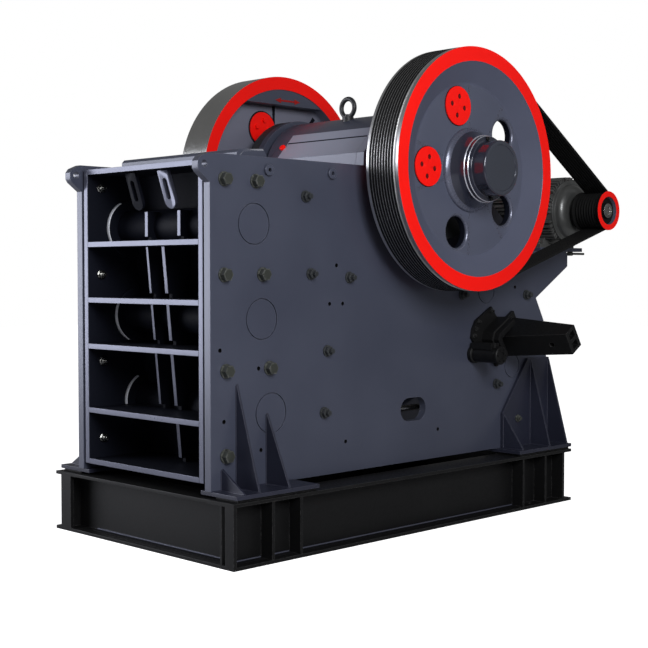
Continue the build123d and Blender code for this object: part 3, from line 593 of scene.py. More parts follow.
near_plate = side_plate()
far_plate = mirrored("side_plate_far_finished", near_plate)
for piece, node_name in ((near_plate, "side_plate_near"), (far_plate, "side_plate_far")):
    painted(piece, slate, lit_front_slate, hole_shade_black, choose=plate_finish)
    placed(piece, "frame", "slate", node_name)

# bolts on the plates' outer faces, the same on both sides
BIG_BOLTS = ((-1.590, 2.328), (-1.334, 2.326), (-1.592, 1.750), (-1.279, 1.752), (-1.579, 1.166),
             (-1.223, 1.167), (-1.581, 0.648))
NUTS = ((-0.909, 2.250), (-0.862, 1.755), (-0.506, 1.731), (-0.712, 1.253), (-0.742, 0.850),
        (0.675, 1.602), (1.449, 1.593), (1.080, 0.929))
BOSSES = ((-1.230, 2.400), (-0.674, 2.408))


def both_sides(points, out):
    """Places on both plates' faces, or inside them where out is below zero."""
    places = [at(x, -out, z) for x, z in points]
    return places + [at(x, out, z, "far") for x, z in points]


dressed_bolts("frame_bolts", hex_bolt("frame_bolt", 0.070, 0.046, washer=0.045),
              both_sides(BIG_BOLTS, PLATE_OUT), olive, "frame")
dressed_bolts("plate_nuts", hex_bolt("plate_nut", 0.056, 0.032, washer=0.038, stud=0.026),
              both_sides(NUTS, PLATE_OUT), cast, "frame")

BOSS_R = 0.036
BOSS_OUT = 0.020
boss = turned("boss", [(0.0, -0.004), (0.013, -0.004), (0.013, -BOSS_OUT), (BOSS_R - 0.004, -BOSS_OUT),
                       (BOSS_R, -BOSS_OUT + 0.004), (BOSS_R, 0.0), (0.0, 0.0)], steps=40)
shaded(boss)
bosses = spread("grease_bosses", boss, both_sides(BOSSES, PLATE_OUT))
# the floor of each boss's hole is painted black, a painted shade
painted(bosses, slate, hole_shade_black,
        choose=lambda middle, normal: abs(middle.y) < PLATE_OUT + 0.006 and abs(normal.y) > 0.9)
placed(bosses, "frame", "slate")

# front frame: painted highlight on the front edges, painted shade inside the bays
WEB_TOP = (-1.518, 1.967)
WEB_RUN = 0.143
WEB_DROP = 1.450
SHELF_TOPS = (1.967, 1.597, 1.289, 0.861, 0.517)
NOTCH = 0.030
BAY_BACK_X = -1.36
CROWN_Z = 2.44


def web_edge(z):
    """X of the upright webs' slanting front edge at a height."""
    return WEB_TOP[0] + WEB_RUN * (WEB_TOP[1] - z) / WEB_DROP


def front_finish(name, middle, normal):
    """Painted highlight on the front edges, slate on the crown, painted shade inside the bays."""
    if name == "front_webs":
        return 1 if normal.x < -0.55 and middle.x < web_edge(middle.z) + 0.015 else 0
    if name != "front_wall" and normal.x < -0.55 and middle.x < BAY_BACK_X:
        return 1
    return 2 if middle.z > CROWN_Z or (name == "front_flanges" and middle.x < FRONT_X + 0.003) else 0


def notched(webs):
    """Drain notches cut from the webs' lower front corners."""
    notches = []
    for z in SHELF_TOPS:
        notches.append(brick("notch", (-1.60, -0.30, z - CUT_PROUD), (web_edge(z) + NOTCH, 0.30, z + NOTCH)))
    return cut(webs, joined("notches", notches))


FRONT_EASING = (("front_flanges", 0.004), ("front_ribs", 0.003), ("front_webs", 0.003), ("front_wall", 0.004))
for name, width in FRONT_EASING:
    piece = merged_copy(name)
    if name == "front_webs":
        notched(piece)
    eased(piece, width)
    painted(piece, bay_shade_paint, lit_edge_paint, slate,
            choose=lambda middle, normal: front_finish(name, middle, normal))
    placed(piece, "frame", "slate", name)

# collars of the cross tubes, each with the height of its bay
FLANGE_IN = 0.580
COLLAR_BAYS = ((1.970, 2.300), (1.300, 1.560), (0.865, 1.200))
COLLAR_BORE = 0.118
COLLAR_R = 0.195
COLLAR_T = 0.026
collar = turned("collar", [(COLLAR_BORE, 0.0), (COLLAR_R, 0.0), (COLLAR_R, -COLLAR_T), (COLLAR_BORE, -COLLAR_T),
                           (COLLAR_BORE, 0.0)], steps=64)
collars = spread("tube_collars", eased(collar, 0.007, 3), both_sides(TUBES, -FLANGE_IN))


def collar_finish(middle, normal):
    """Painted highlight along the part of the outer edge that catches the light; the rest takes the dark bay
    paint, a painted shade.
    """
    for (x, z), (bay_low, bay_high) in zip(TUBES, COLLAR_BAYS):
        r = math.hypot(middle.x - x, middle.z - z)
        if 0.150 < r < COLLAR_R + 0.01 and middle.x < x - COLLAR_R * 0.45 and bay_low < middle.z < bay_high:
            return 1 if abs(normal.y) < 0.98 else 0
    return 0


painted(collars, bay_shade_paint, collar_highlight, choose=collar_finish)
placed(collars, "frame", "slate")

# nuts and stud ends inside the front flanges, on the bolts of the front row
front_row = [(x, z) for x, z in BIG_BOLTS if x < -1.5]
dressed_bolts("flange_nuts", hex_bolt("flange_nut", 0.048, 0.026, washer=0.030, stud=0.026),
              both_sides(front_row, -FLANGE_IN), steel, "frame")

# slotted links that hang under the crown, before the short webs
LINK_W = 0.105
LINK_L = 0.250
LINK_T = 0.022
LINK_LEAN = math.radians(18.0)
LINK_TOP = (-1.650, 2.405)
LINK_Y = 0.17
SLOT_HALF = 0.021


def slotted_link():
    """Flat link, rounded at its foot, with a long slot."""
    r = LINK_W / 2
    foot = -LINK_L + r
    outline = [(-r, 0.0, 0.0), (r, 0.0, 0.0), (r, 0.0, foot)]
    for a in range(-20, -180, -20):
        outline.append((r * math.cos(math.radians(a)), 0.0, foot + r * math.sin(math.radians(a))))
    outline.append((-r, 0.0, foot))
    body = slab("link", outline, (0.0, LINK_T, 0.0))
    slot = brick("slot_cutter", (-SLOT_HALF, -0.02, -LINK_L + 0.060), (SLOT_HALF, 0.05, -0.050))
    edit(slot)
    take_all()
    bpy.ops.mesh.bevel(offset=0.020, segments=5, affect="EDGES")
    leave_edit()
    return eased(cut(body, slot), 0.0025)


link_turn = TURN_TO["front"] @ Matrix.Rotation(LINK_LEAN, 4, "X")
link_places = [Matrix.Translation((LINK_TOP[0], y, LINK_TOP[1])) @ link_turn for y in (-LINK_Y, LINK_Y)]
links = spread("slotted_links", slotted_link(), link_places)
# the near link takes the lit edge paint, a painted highlight; the far one takes the dark bay paint, a painted
# shade
painted(links, lit_edge_paint, bay_shade_paint, choose=lambda middle, normal: 1 if middle.y > 0.0 else 0)
placed(links, "frame", "slate")

# end lugs of the clamp bar, their upper edges bevelled and painted with a highlight
LUG_OUT = 0.601
LUG_T = 0.024
LUG_LINE = ((-1.417, 2.470), (-1.351, 2.529), (-1.165, 2.543), (-1.165, 2.470))


def lug_finish(middle, normal):
    """Painted highlight on the top and on the bevels that look up."""
    return 1 if 0.2 < abs(normal.y) < 0.95 and normal.z > 0.1 or normal.z > 0.95 else 0


lug = eased(slab("lug", [(x, -LUG_OUT, z) for x, z in LUG_LINE], (0.0, LUG_T, 0.0)), 0.012, 1)
lugs = joined("clamp_lugs", [lug, mirrored("far_lug", lug)])
painted(lugs, slate, painted_highlight, choose=lug_finish)
placed(lugs, "frame", "slate")

# the clamp bar, with a painted highlight on the bevel that looks up and forwards
def bevel_finish(middle, normal):
    """Painted highlight where the face looks up and forwards."""
    return 1 if normal.x < -0.3 and normal.z > 0.2 else 0


clamp_bar = eased(merged_copy("jaw_clamp_bar"), 0.004)
painted(clamp_bar, slate, clamp_highlight_slate, choose=bevel_finish)
placed(clamp_bar, "frame", slot_of_node["jaw_clamp_bar"], "jaw_clamp_bar")

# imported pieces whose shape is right: they only get eased edges
EASED = (
    ("base_beam_near", black, 0.0025), ("base_beam_far", black, 0.0025),
    ("base_beam_front", black, 0.0025), ("base_beam_rear", black, 0.0025),
    # the feet and doublers take the darker foot slate, a painted shade
    ("front_feet", foot_shade_slate, 0.003), ("rear_feet", foot_shade_slate, 0.003),
    ("foot_doublers", foot_shade_slate, 0.003), ("foot_pads", black, 0.002),
    ("rear_beam", slate, 0.005), ("motor_base", slate, 0.003), ("toggle_seat", cast, 0.004),
    ("bearing_housing_near", cast, 0.006), ("bearing_housing_far", cast, 0.006),
    ("adjusting_wedge_near", black, 0.004), ("adjusting_wedge_far", black, 0.004),
    ("wedge_guide_near", black, 0.004), ("wedge_guide_far", black, 0.004),
    ("counterweight", slate, 0.004), ("tension_brackets", slate, 0.003), ("toggle_plate", slate, 0.005),
    ("cheek_plates", manganese, 0.004), ("fixed_jaw_die", manganese, 0.003),
    ("swing_jaw_die", manganese, 0.003), ("swing_jaw", slate, 0.004), ("main_shaft", steel, 0.002),
)
for name, mat, width in EASED:
    piece = eased(merged_copy(name), width)
    painted(piece, mat)
    placed(piece, body_of_node[name], slot_of_node[name], name)

# wheels: places across the web, from the middle of the machine outwards
WHEEL_BACK = 0.831
WHEEL_FRONT = 1.112
WEB_BACK = 0.955
WEB_FRONT = 1.030
WEB_FILLET = 0.030
RIM_IN_R = WHEEL_R - 0.100
RIM_SLOPE = 0.150
HUB_R = 0.275
HUB_PROUD = 0.005
HUB_FACE = -wheel_low.y
RING_R = 0.231
CONE_R = 0.262
CONE_ROUND = 0.028
BORE_R = 0.1503
BELTS = 9
BELT_PITCH = (belt_high.y - belt_low.y + 0.004) / BELTS
GROOVE_LAND = 0.0052
GROOVE_DROP = 0.021
GROOVE_TAPER = 0.36
HOLE_PCD_R = 0.450
WEB_HOLE_R = 0.108
HOLE_FLARE = 0.020
HOLE_ANGLES = (180.0, 108.0, 36.0, -36.0, -108.0)
COVERED = (180.0, 108.0)
WHEEL_ANGLE = 32.0


def groove_y(k):
    """Middle of a belt groove, counted from the wheel's back."""
    return belt_high.y + 0.002 - BELT_PITCH * (k + 0.5)


def grooves(r, count):
    """Outline of a rim of radius r with V-grooves."""
    corners = []
    top = (BELT_PITCH - GROOVE_LAND) / 2
    root = top - GROOVE_DROP * GROOVE_TAPER
    for k in range(count):
        y = groove_y(k)
        corners += [(r, y + top), (r - GROOVE_DROP, y + root), (r - GROOVE_DROP, y - root), (r, y - top)]
    return corners


def spool_cutter(x, z, r, y0, y1):
    """Hole cutter that leaves both rims rounded."""
    wide = r + HOLE_FLARE
    outline = [(0.0, y0 - 0.02), (wide, y0 - 0.02), (wide, y0)]
    outline += arc(wide, y0 + HOLE_FLARE, HOLE_FLARE, -90.0, -180.0, 6)[1:]
    outline += arc(wide, y1 - HOLE_FLARE, HOLE_FLARE, 180.0, 90.0, 6)
    outline += [(wide, y1 + 0.02), (0.0, y1 + 0.02)]
    return turned("spool_cutter", outline, x, z, steps=48)


def on_wheel(angle, r=HOLE_PCD_R):
    """X and Z of a place on the wheels, by its angle and radius."""
    a = math.radians(angle)
    return SHAFT_X + r * math.cos(a), SHAFT_Z + r * math.sin(a)


def wheel(name, grooved):
    """Flywheel turned in one outline, hub and rim together, with five round holes in its web."""
    outline = [(BORE_R, -WHEEL_BACK - HUB_PROUD), (HUB_R, -WHEEL_BACK - HUB_PROUD)]
    outline += arc(HUB_R + WEB_FILLET, -WEB_BACK + WEB_FILLET, WEB_FILLET, 180.0, 270.0, 4)
    outline += arc(RIM_IN_R - WEB_FILLET, -WEB_BACK + WEB_FILLET, WEB_FILLET, -90.0, 0.0, 4)
    outline += [(RIM_IN_R, -WHEEL_BACK), (WHEEL_R, -WHEEL_BACK)]
    if grooved:
        outline += grooves(WHEEL_R, BELTS + 1)
    outline += [(WHEEL_R, -WHEEL_FRONT), (RIM_IN_R, -WHEEL_FRONT), (RIM_IN_R - 0.003, -WHEEL_FRONT + 0.005),
                (RIM_IN_R - RIM_SLOPE + 0.020, -WEB_FRONT - 0.007), (RIM_IN_R - RIM_SLOPE, -WEB_FRONT)]
    outline += arc(CONE_R, -WEB_FRONT, CONE_ROUND, 0.0, -65.0, 5)
    outline += [(RING_R + 0.031, -WEB_FRONT - 0.040), (RING_R + 0.019, -WEB_FRONT - 0.060),
                (RING_R + 0.009, -WEB_FRONT - 0.082), (RING_R, -WEB_FRONT - 0.105), (RING_R, -HUB_FACE + 0.005),
                (RING_R - 0.005, -HUB_FACE), (BORE_R, -HUB_FACE), (BORE_R, -WHEEL_BACK - HUB_PROUD)]
    piece = turned(name, outline, SHAFT_X, SHAFT_Z, steps=128)
    modified(piece, "BEVEL", width=0.0025, segments=2, limit_method="ANGLE", angle_limit=math.radians(40.0))
    cutters = []
    for angle in HOLE_ANGLES:
        cutters.append(spool_cutter(*on_wheel(angle), WEB_HOLE_R, -WEB_FRONT, -WEB_BACK))
    cut(piece, joined("hole_cutters", cutters))
    return shaded(piece, WHEEL_ANGLE)


# the bright end-edge faces and the foot faces take painted highlights; the hole walls take the dark bay paint,
# a painted shade
WEB, RIM_FACE, TURNED, HUB, EDGE_HIGHLIGHT, FOOT, CONE, HOLE = range(8)


def wheel_finish(middle, normal):
    """Red rim faces, bare turned rim and bore, glossy hub with a painted highlight on its end edge, lighter
    paint on the shoulder and the holes' rims as a painted highlight, painted shade on the hole walls, painted
    web.
    """
    r = math.hypot(middle.x - SHAFT_X, middle.z - SHAFT_Z)
    out = abs(middle.y)
    if BORE_R + 0.01 < r < RING_R + 0.001 and 0.2 < abs(normal.y) < 0.95 and out > WEB_FRONT + 0.05:
        return EDGE_HIGHLIGHT
    if CONE_R + 0.004 < r < CONE_R + CONE_ROUND + 0.001 and out > WEB_FRONT + 0.0005:
        return FOOT
    if BORE_R + 0.01 < r < CONE_R + 0.005 and out > WEB_FRONT + 0.0005:
        return HUB
    for angle in HOLE_ANGLES:
        x, z = on_wheel(angle)
        if math.hypot(middle.x - x, middle.z - z) < WEB_HOLE_R + HOLE_FLARE:
            return FOOT if out > WEB_FRONT - HOLE_FLARE * 0.9 else HOLE
    if RIM_IN_R - RIM_SLOPE < r < RIM_IN_R and WEB_FRONT - 0.002 < out < WHEEL_FRONT - 0.003:
        return CONE
    if r > RIM_IN_R + 0.001 and abs(normal.y) > 0.7 and (out > WHEEL_FRONT - 0.004 or out < WHEEL_BACK + 0.004):
        return RIM_FACE
    if r > RIM_IN_R + 0.02 or r < BORE_R + 0.01:
        return TURNED
    return WEB


HUB_TO_HOLE = (hub_gloss, painted_highlight, shoulder_highlight_gloss, dull_slate, bay_shade_paint)
near_wheel = wheel("drive_flywheel_finished", True)
painted(near_wheel, web_slate, red, groove_steel, *HUB_TO_HOLE, choose=wheel_finish)
placed(near_wheel, "rotor", "steel", "drive_flywheel")
pattern = wheel("far_wheel_pattern", False)
far_wheel = mirrored("plain_flywheel_finished", pattern, WHEEL_ANGLE)
bpy.data.objects.remove(pattern)
# the far wheel's web is painted lighter, painted light
painted(far_wheel, far_web_lit_slate, red, rim_steel, *HUB_TO_HOLE, choose=wheel_finish)
placed(far_wheel, "rotor", "steel", "plain_flywheel")

# belts: one V-belt swept round both pulleys, copied to each groove
PULLEY_LIP_R = pulley_high.z - PULLEY_Z
PULLEY_R = pulley_high.z - PULLEY_Z - 0.013
PULLEY_FACE = -pulley_low.y
BELT_SEAT = 0.0005
BELT_DEEP = 0.015


def belt_loop():
    """One V-belt in the middle plane, from the big wheel round the pulley and back."""
    big = WHEEL_R + BELT_SEAT
    small = PULLEY_R + BELT_SEAT
    gap_x = PULLEY_X - SHAFT_X
    gap_z = PULLEY_Z - SHAFT_Z
    lean = math.atan2(gap_z, gap_x)
    wrap = math.acos((big - small) / math.hypot(gap_x, gap_z))
    start = lean + wrap
    top = (BELT_PITCH - GROOVE_LAND) / 2 - 0.0005
    base = top - BELT_DEEP * GROOVE_TAPER

    def on_big(drop, angle, y=0.0):
        r = big - drop
        return Vector((SHAFT_X + r * math.cos(angle), y, SHAFT_Z + r * math.sin(angle)))

    def on_small(angle):
        return Vector((PULLEY_X + small * math.cos(angle), 0.0, PULLEY_Z + small * math.sin(angle)))

    def swept(steps, angle, x, z):
        bpy.ops.mesh.spin(steps=steps, angle=angle, center=(x, 0.0, z), axis=(0.0, 1.0, 0.0))

    def run(length):
        bpy.ops.mesh.extrude_region_move(TRANSFORM_OT_translate={"value": length})

    section = [(0.0, top), (0.0, -top), (BELT_DEEP, -base), (BELT_DEEP, base)]
    piece = closed_line("belt", [on_big(drop, start, y) for drop, y in section])
    swept(88, 2 * math.pi - 2 * wrap, SHAFT_X, SHAFT_Z)
    run(on_small(lean - wrap) - on_big(0.0, lean - wrap))
    swept(28, 2 * wrap, PULLEY_X, PULLEY_Z)
    run(on_big(0.0, start) - on_small(start))
    leave_edit()
    return shaded(tidied(piece, 0.0003), 30.0)


belts = spread("v_belts", belt_loop(), [Matrix.Translation((0.0, groove_y(k), 0.0)) for k in range(BELTS)])
painted(belts, rubber)
placed(belts, "frame", "belt", "drive_belt")

# motor pulley
MOTOR_SHAFT_R = 0.045
PULLEY_NECK_R = 0.085
DISH_LINE = ((0.108, 0.0), (0.104, 0.030), (0.060, 0.034), (0.056, 0.006), (0.034, 0.003), (0.031, 0.012),
             (0.0, 0.012))
outline = [(MOTOR_SHAFT_R, pulley_high.y), (MOTOR_SHAFT_R, belt_high.y + 0.040),
           (PULLEY_NECK_R, belt_high.y + 0.040), (PULLEY_NECK_R, belt_high.y + 0.018),
           (PULLEY_LIP_R, belt_high.y + 0.018), (PULLEY_LIP_R, belt_high.y + 0.003)]
outline += grooves(PULLEY_R, BELTS)
outline += [(PULLEY_LIP_R, belt_low.y - 0.003), (PULLEY_LIP_R, -PULLEY_FACE)]
outline += [(r, -PULLEY_FACE + back) for r, back in DISH_LINE]
outline += [(0.0, pulley_high.y), (MOTOR_SHAFT_R, pulley_high.y)]
pulley = eased(turned("motor_pulley_finished", outline, PULLEY_X, PULLEY_Z, steps=72), 0.0015)


def pulley_finish(middle, normal):
    """Red end face, slate dish, bare shaft end, the rest dark."""
    r = math.hypot(middle.x - PULLEY_X, middle.z - PULLEY_Z)
    if middle.y < -PULLEY_FACE + 0.004 and r > 0.10:
        return 1
    if r < 0.110 and middle.y < belt_low.y:
        return 2 if r < 0.062 else 3
    return 0


painted(pulley, rubber, red, steel, web_slate, choose=pulley_finish)
placed(pulley, "motor_rotor", "cast", "motor_pulley")

# cover discs on the wheels' webs, two near and one far
COVER_R = 0.132
FAR_COVER_R = 0.130
COVER_T = 0.011
SCREW_PCD_R = 0.066
SCREW_ANGLES = (80.0, 170.0, 260.0, 350.0)
near_middles = [on_wheel(angle) for angle in COVERED]
far_x, far_z = near_middles[1]


def screw_ring(x, y, z):
    """The four places of the screws of a cover whose middle is given."""
    places = []
    for angle in SCREW_ANGLES:
        a = math.radians(angle)
        places.append((x + SCREW_PCD_R * math.cos(a), y, z + SCREW_PCD_R * math.sin(a)))
    return places


def cover_disc(name, r):
    """Disc with a shallow spigot behind it."""
    outline = [(0.0, 0.008), (r - 0.022, 0.008), (r - 0.020, 0.0), (r, 0.0), (r, -COVER_T), (0.0, -COVER_T)]
    return eased(turned(name, outline, steps=64), 0.002)


def recessed(disc):
    """The near discs have a round recess at each screw."""
    holes = [drum("screw_cutter", 0.0180, 0.014, place, sides=20) for place in screw_ring(0.0, -COVER_T, 0.0)]
    return shaded(cut(disc, joined("screw_cutters", holes)))


def cover_finish(middle, normal):
    """Darker red on the floors of the screw recesses, a painted shade."""
    sunk = WEB_FRONT < abs(middle.y) < WEB_FRONT + COVER_T - 0.003
    return 1 if sunk and math.hypot(normal.x, normal.z) < 0.5 else 0


near_discs = spread("near_discs", recessed(cover_disc("near_disc", COVER_R)),
                    [at(x, -WEB_FRONT, z) for x, z in near_middles])
far_disc = spread("far_disc", cover_disc("far_disc", FAR_COVER_R), [at(far_x, WEB_BACK, far_z)])
covers = joined("cover_discs", [near_discs, far_disc])
painted(covers, red, recess_shade_red, choose=cover_finish)
placed(covers, "rotor", "red", "balance_covers")

screws = []
for x, z in near_middles:
    screws += [at(*place) for place in screw_ring(x, -WEB_FRONT - COVER_T + 0.006, z)]
# the screws in the recesses take the darker red too, a painted shade
dressed_bolts("cover_screws", hex_bolt("cover_screw", 0.024, 0.004), screws, recess_shade_red, "rotor", "red")
screws = [at(*place) for place in screw_ring(far_x, WEB_BACK - COVER_T, far_z)]
dressed_bolts("far_cover_bolts", hex_bolt("far_cover_bolt", 0.034, 0.018), screws, red, "rotor", "red")

# black discs under the covers, a painted shadow that shows as a thin dark ring round each cover
SHADOW_DISC_T = 0.004
FAR_SHADOW_DISC_R = 0.141
SHADOW_DISCS = [(x, -WEB_FRONT, z, COVER_R + 0.004) for x, z in near_middles]
SHADOW_DISCS.append((far_x, WEB_BACK, far_z, FAR_SHADOW_DISC_R))
painted_shadows = [eased(drum("shadow_disc", r, SHADOW_DISC_T, (x, y - 0.001, z), sides=56), 0.0012) for x, y, z, r in SHADOW_DISCS]
painted_shadows = joined("cover_shadow_rings", painted_shadows)
painted(painted_shadows, hole_shade_black)
placed(painted_shadows, "rotor", "black")

# hub caps with their shoulder bolts
CAP_FACE = -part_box("hub_caps")[0].y
CAP_R = 0.187
CAP_RING_R = 0.224
CAP_RING_T = 0.027
CAP_SEAT = -HUB_FACE + 0.0002
outline = [(0.0, CAP_SEAT), (CAP_RING_R - 0.003, CAP_SEAT), (CAP_RING_R - 0.003, -HUB_FACE - 0.003),
           (CAP_RING_R, -HUB_FACE - 0.004), (CAP_RING_R, -HUB_FACE - CAP_RING_T + 0.004),
           (CAP_RING_R - 0.004, -HUB_FACE - CAP_RING_T)]
outline += arc(CAP_R + 0.008, -HUB_FACE - CAP_RING_T - 0.008, 0.008, 90.0, 180.0, 3)
outline += [(CAP_R, -CAP_FACE + 0.020)]
outline += arc(CAP_R - 0.014, -CAP_FACE + 0.014, 0.014, 0.0, -90.0, 5)
outline += [(CAP_R - 0.030, -CAP_FACE), (CAP_R - 0.034, -CAP_FACE + 0.005), (0.0, -CAP_FACE + 0.005),
            (0.0, CAP_SEAT)]
near_cap = shaded(turned("near_cap", outline, SHAFT_X, SHAFT_Z, steps=96), WHEEL_ANGLE)
caps = joined("hub_caps_finished", [near_cap, mirrored("far_cap", near_cap, WHEEL_ANGLE)])


def cap_finish(middle, normal):
    """Grey end face, painted highlight on the flange's edge, glossy sides."""
    r = math.hypot(middle.x - SHAFT_X, middle.z - SHAFT_Z)
    if abs(middle.y) > CAP_FACE - 0.007 and abs(normal.y) > 0.9:
        return 1
    return 2 if r > CAP_RING_R - 0.004 and 0.2 < abs(normal.y) < 0.95 else 0


painted(caps, hub_gloss, cap_grey, painted_highlight, choose=cap_finish)
placed(caps, "rotor", "slate", "hub_caps")
SHOULDER_R = 0.203
shoulder_places = [on_wheel(angle, SHOULDER_R) for angle in (96.0, 276.0)]
dressed_bolts("shoulder_bolts", hex_bolt("shoulder_bolt", 0.026, 0.014),
              both_sides(shoulder_places, HUB_FACE + CAP_RING_T - 0.001), black, "rotor", "black")

# motor: finned shell, stepped end shields, cowl, feet and terminal box
MOTOR_NEAR = -motor_low.y
MOTOR_FAR = motor_high.y
SHELL_R = 0.244
FIN_OUT = 0.034
FINS = 58
SIDES_A_FIN = 3
RING_OUT_R = 0.2805
SHIELD_R = 0.247
SHELL_Y0 = -MOTOR_NEAR + 0.046
SHELL_Y1 = MOTOR_FAR - 0.190


def finned_shell():
    """Shell whose every third side is drawn out into a cooling fin."""
    shell = drum("motor_shell", SHELL_R, SHELL_Y1 - SHELL_Y0,
                 (PULLEY_X, (SHELL_Y0 + SHELL_Y1) / 2, PULLEY_Z), sides=SIDES_A_FIN * FINS)
    edit(shell)

    def is_fin(middle, normal):
        turn = math.degrees(math.atan2(middle.z - PULLEY_Z, middle.x - PULLEY_X)) % 360.0
        return abs(normal.y) < 0.5 and int(turn / 360.0 * SIDES_A_FIN * FINS) % SIDES_A_FIN == 0

    pick_faces(shell, is_fin)
    bpy.ops.mesh.extrude_faces_move(TRANSFORM_OT_shrink_fatten={"value": FIN_OUT})
    leave_edit()
    return shaded(shell, 20.0)


def near_shield():
    """Ring, rounded shoulder and bearing cover of the shield towards the pulley."""
    y = -MOTOR_NEAR
    bore = 0.054
    outline = [(bore, y + 0.050), (bore, y - 0.046), (0.100, y - 0.046), (0.110, y - 0.041), (0.134, y - 0.038)]
    outline += arc(0.156, y + 0.020, 0.058, -90.0, 0.0, 10)
    outline += [(0.218, y + 0.030), (0.234, y + 0.030), (SHIELD_R, y + 0.034), (SHIELD_R, y + 0.047),
                (bore, y + 0.050)]
    return eased(turned("near_shield", outline, PULLEY_X, PULLEY_Z, steps=72), 0.0015)


def fan_cowl():
    """Cowl over the fan, its end ringed by grille slots."""
    y = MOTOR_FAR
    lip_r = RING_OUT_R - 0.004
    cowl_r = RING_OUT_R - 0.016
    outline = [(0.0, y - 0.200), (lip_r, y - 0.200), (lip_r, y - 0.170), (cowl_r, y - 0.165),
               (cowl_r, y - 0.045)]
    outline += arc(cowl_r - 0.045, y - 0.045, 0.045, 0.0, 90.0, 6)[1:]
    for ring in range(5):
        r = 0.195 - 0.032 * ring
        outline += [(r, y), (r - 0.004, y - 0.012), (r - 0.018, y - 0.012), (r - 0.022, y)]
    outline += [(0.0, y), (0.0, y - 0.200)]
    return eased(turned("fan_cowl", outline, PULLEY_X, PULLEY_Z, steps=72), 0.0015)


def terminal_box():
    """Box on top of the shell with a screwed lid."""
    top = motor_high.z
    body = brick("terminal_box", (PULLEY_X - 0.100, -0.320, PULLEY_Z + SHELL_R - 0.02),
                 (PULLEY_X + 0.100, -0.090, top - 0.034))
    pushed(body, faces_up, 0.006, (0.0, 0.0, 0.004))
    lid = brick("terminal_lid", (PULLEY_X - 0.110, -0.330, top - 0.030),
                (PULLEY_X + 0.110, -0.080, top - 0.012))
    pushed(lid, faces_up, 0.020, (0.0, 0.0, 0.004))
    places = [at(PULLEY_X + x, y, top - 0.011, "up") for x in (-0.098, 0.098) for y in (-0.318, -0.092)]
    screws = spread("lid_screws", hex_bolt("lid_screw", 0.014, 0.006), places)
    return joined("terminal_box", [eased(body, 0.008, 3), eased(lid, 0.006, 3), screws])


MOTOR_FOOT_Y = (-MOTOR_NEAR + 0.200, MOTOR_FAR - 0.270)
SOLE_T = 0.030


def motor_feet():
    """Two cast bars with uprights that reach the shell."""
    parts = []
    sole_z = motor_low.z
    web_line = ((-0.200, sole_z + 0.020), (0.196, sole_z + 0.020), (0.160, PULLEY_Z - 0.110),
                (-0.160, PULLEY_Z - 0.110))
    for y in MOTOR_FOOT_Y:
        sole = brick("sole", (PULLEY_X - 0.250, y - 0.060, sole_z),
                     (PULLEY_X + 0.210, y + 0.060, sole_z + SOLE_T))
        web = slab("foot_web", [(PULLEY_X + x, y - 0.050, z) for x, z in web_line], (0.0, 0.100, 0.0))
        parts += [eased(sole, 0.004), eased(web, 0.008)]
    return parts


motor = joined("motor_finished", [finned_shell(), near_shield(), fan_cowl(), terminal_box()] + motor_feet())


def motor_finish(middle, normal):
    """The shield's glossy face apart from the duller shell."""
    return 1 if middle.y < SHELL_Y0 - 0.001 else 0


painted(motor, motor_grey, gloss_dark, choose=motor_finish)
placed(motor, "frame", "cast", "motor")
sole_top = motor_low.z + SOLE_T
places = [at(PULLEY_X + x, y - 0.030, sole_top, "up") for y in MOTOR_FOOT_Y for x in (-0.226, 0.203)]
dressed_bolts("motor_foot_bolts", hex_bolt("motor_foot_bolt", 0.028, 0.018, stud=0.010), places, olive, "frame")

# belt tensioning screws between the plates' ends and the motor base
SCREW_Z = 1.914
SCREW_Y = 0.668
SCREW_START = plate_high.x - 0.002
SCREW_END = motor_high.x - 0.003
SCREW_NUTS = (2.072, 2.098)


def tension_screw():
    """Threaded rod along X with two lock nuts."""
    rod = drum("screw_rod", 0.0090, SCREW_END - SCREW_START, ((SCREW_START + SCREW_END) / 2, 0.0, SCREW_Z),
               sides=20, turn=(0.0, 90.0, 0.0))
    places = [at(x, 0.0, SCREW_Z, "front") for x in SCREW_NUTS]
    nuts = spread("screw_nuts", hex_bolt("nut", 0.032, 0.020), places)
    return joined("tension_screw", [eased(rod, 0.0012, angle=60.0), nuts])


places = [Matrix.Translation((0.0, y, 0.0)) for y in (-SCREW_Y, SCREW_Y)]
screws = spread("tension_screws", tension_screw(), places)
painted(screws, olive)
placed(screws, "frame", "cast")

# head guard: bent plate with a seam along its sloping face, painted light on its faces, slate beyond its far
# end and a red plug
GUARD_TOP = (0.0337, 2.7901)
GUARD_CREASE = (-0.1384, 2.6001)
GUARD_FOOT = ((-0.1501, 2.4244), (-0.1166, 2.4244), (-0.1024, 2.5888))
GUARD_BACK_R = 0.4444
GUARD_BACK_TOP = (0.0365, 2.7848)
GUARD_HALF = 0.485
GUARD_END = 0.410
SEAM_DOWN = 0.086
SEAM_W = 0.010
SEAM_DEEP = 0.012
slope = Vector((GUARD_CREASE[0] - GUARD_TOP[0], 0.0, GUARD_CREASE[1] - GUARD_TOP[1])).normalized()
outward = Vector((slope.z, 0.0, -slope.x))


def guard_length(name, y0, y1, seamed):
    """A length of the guard between two Y values."""
    corners = [Vector((GUARD_TOP[0], y0, GUARD_TOP[1]))]
    if seamed:
        lip = corners[0] + slope * SEAM_DOWN
        foot = lip + slope * SEAM_W
        corners += [lip, lip - outward * SEAM_DEEP, foot - outward * SEAM_DEEP, foot]
    line = [GUARD_CREASE, *GUARD_FOOT, *arc(SHAFT_X, SHAFT_Z, GUARD_BACK_R, 158.8, 137.0, 6), GUARD_BACK_TOP]
    corners += [(x, y0, z) for x, z in line]
    return eased(slab(name, corners, (0.0, y1 - y0, 0.0)), 0.0025)


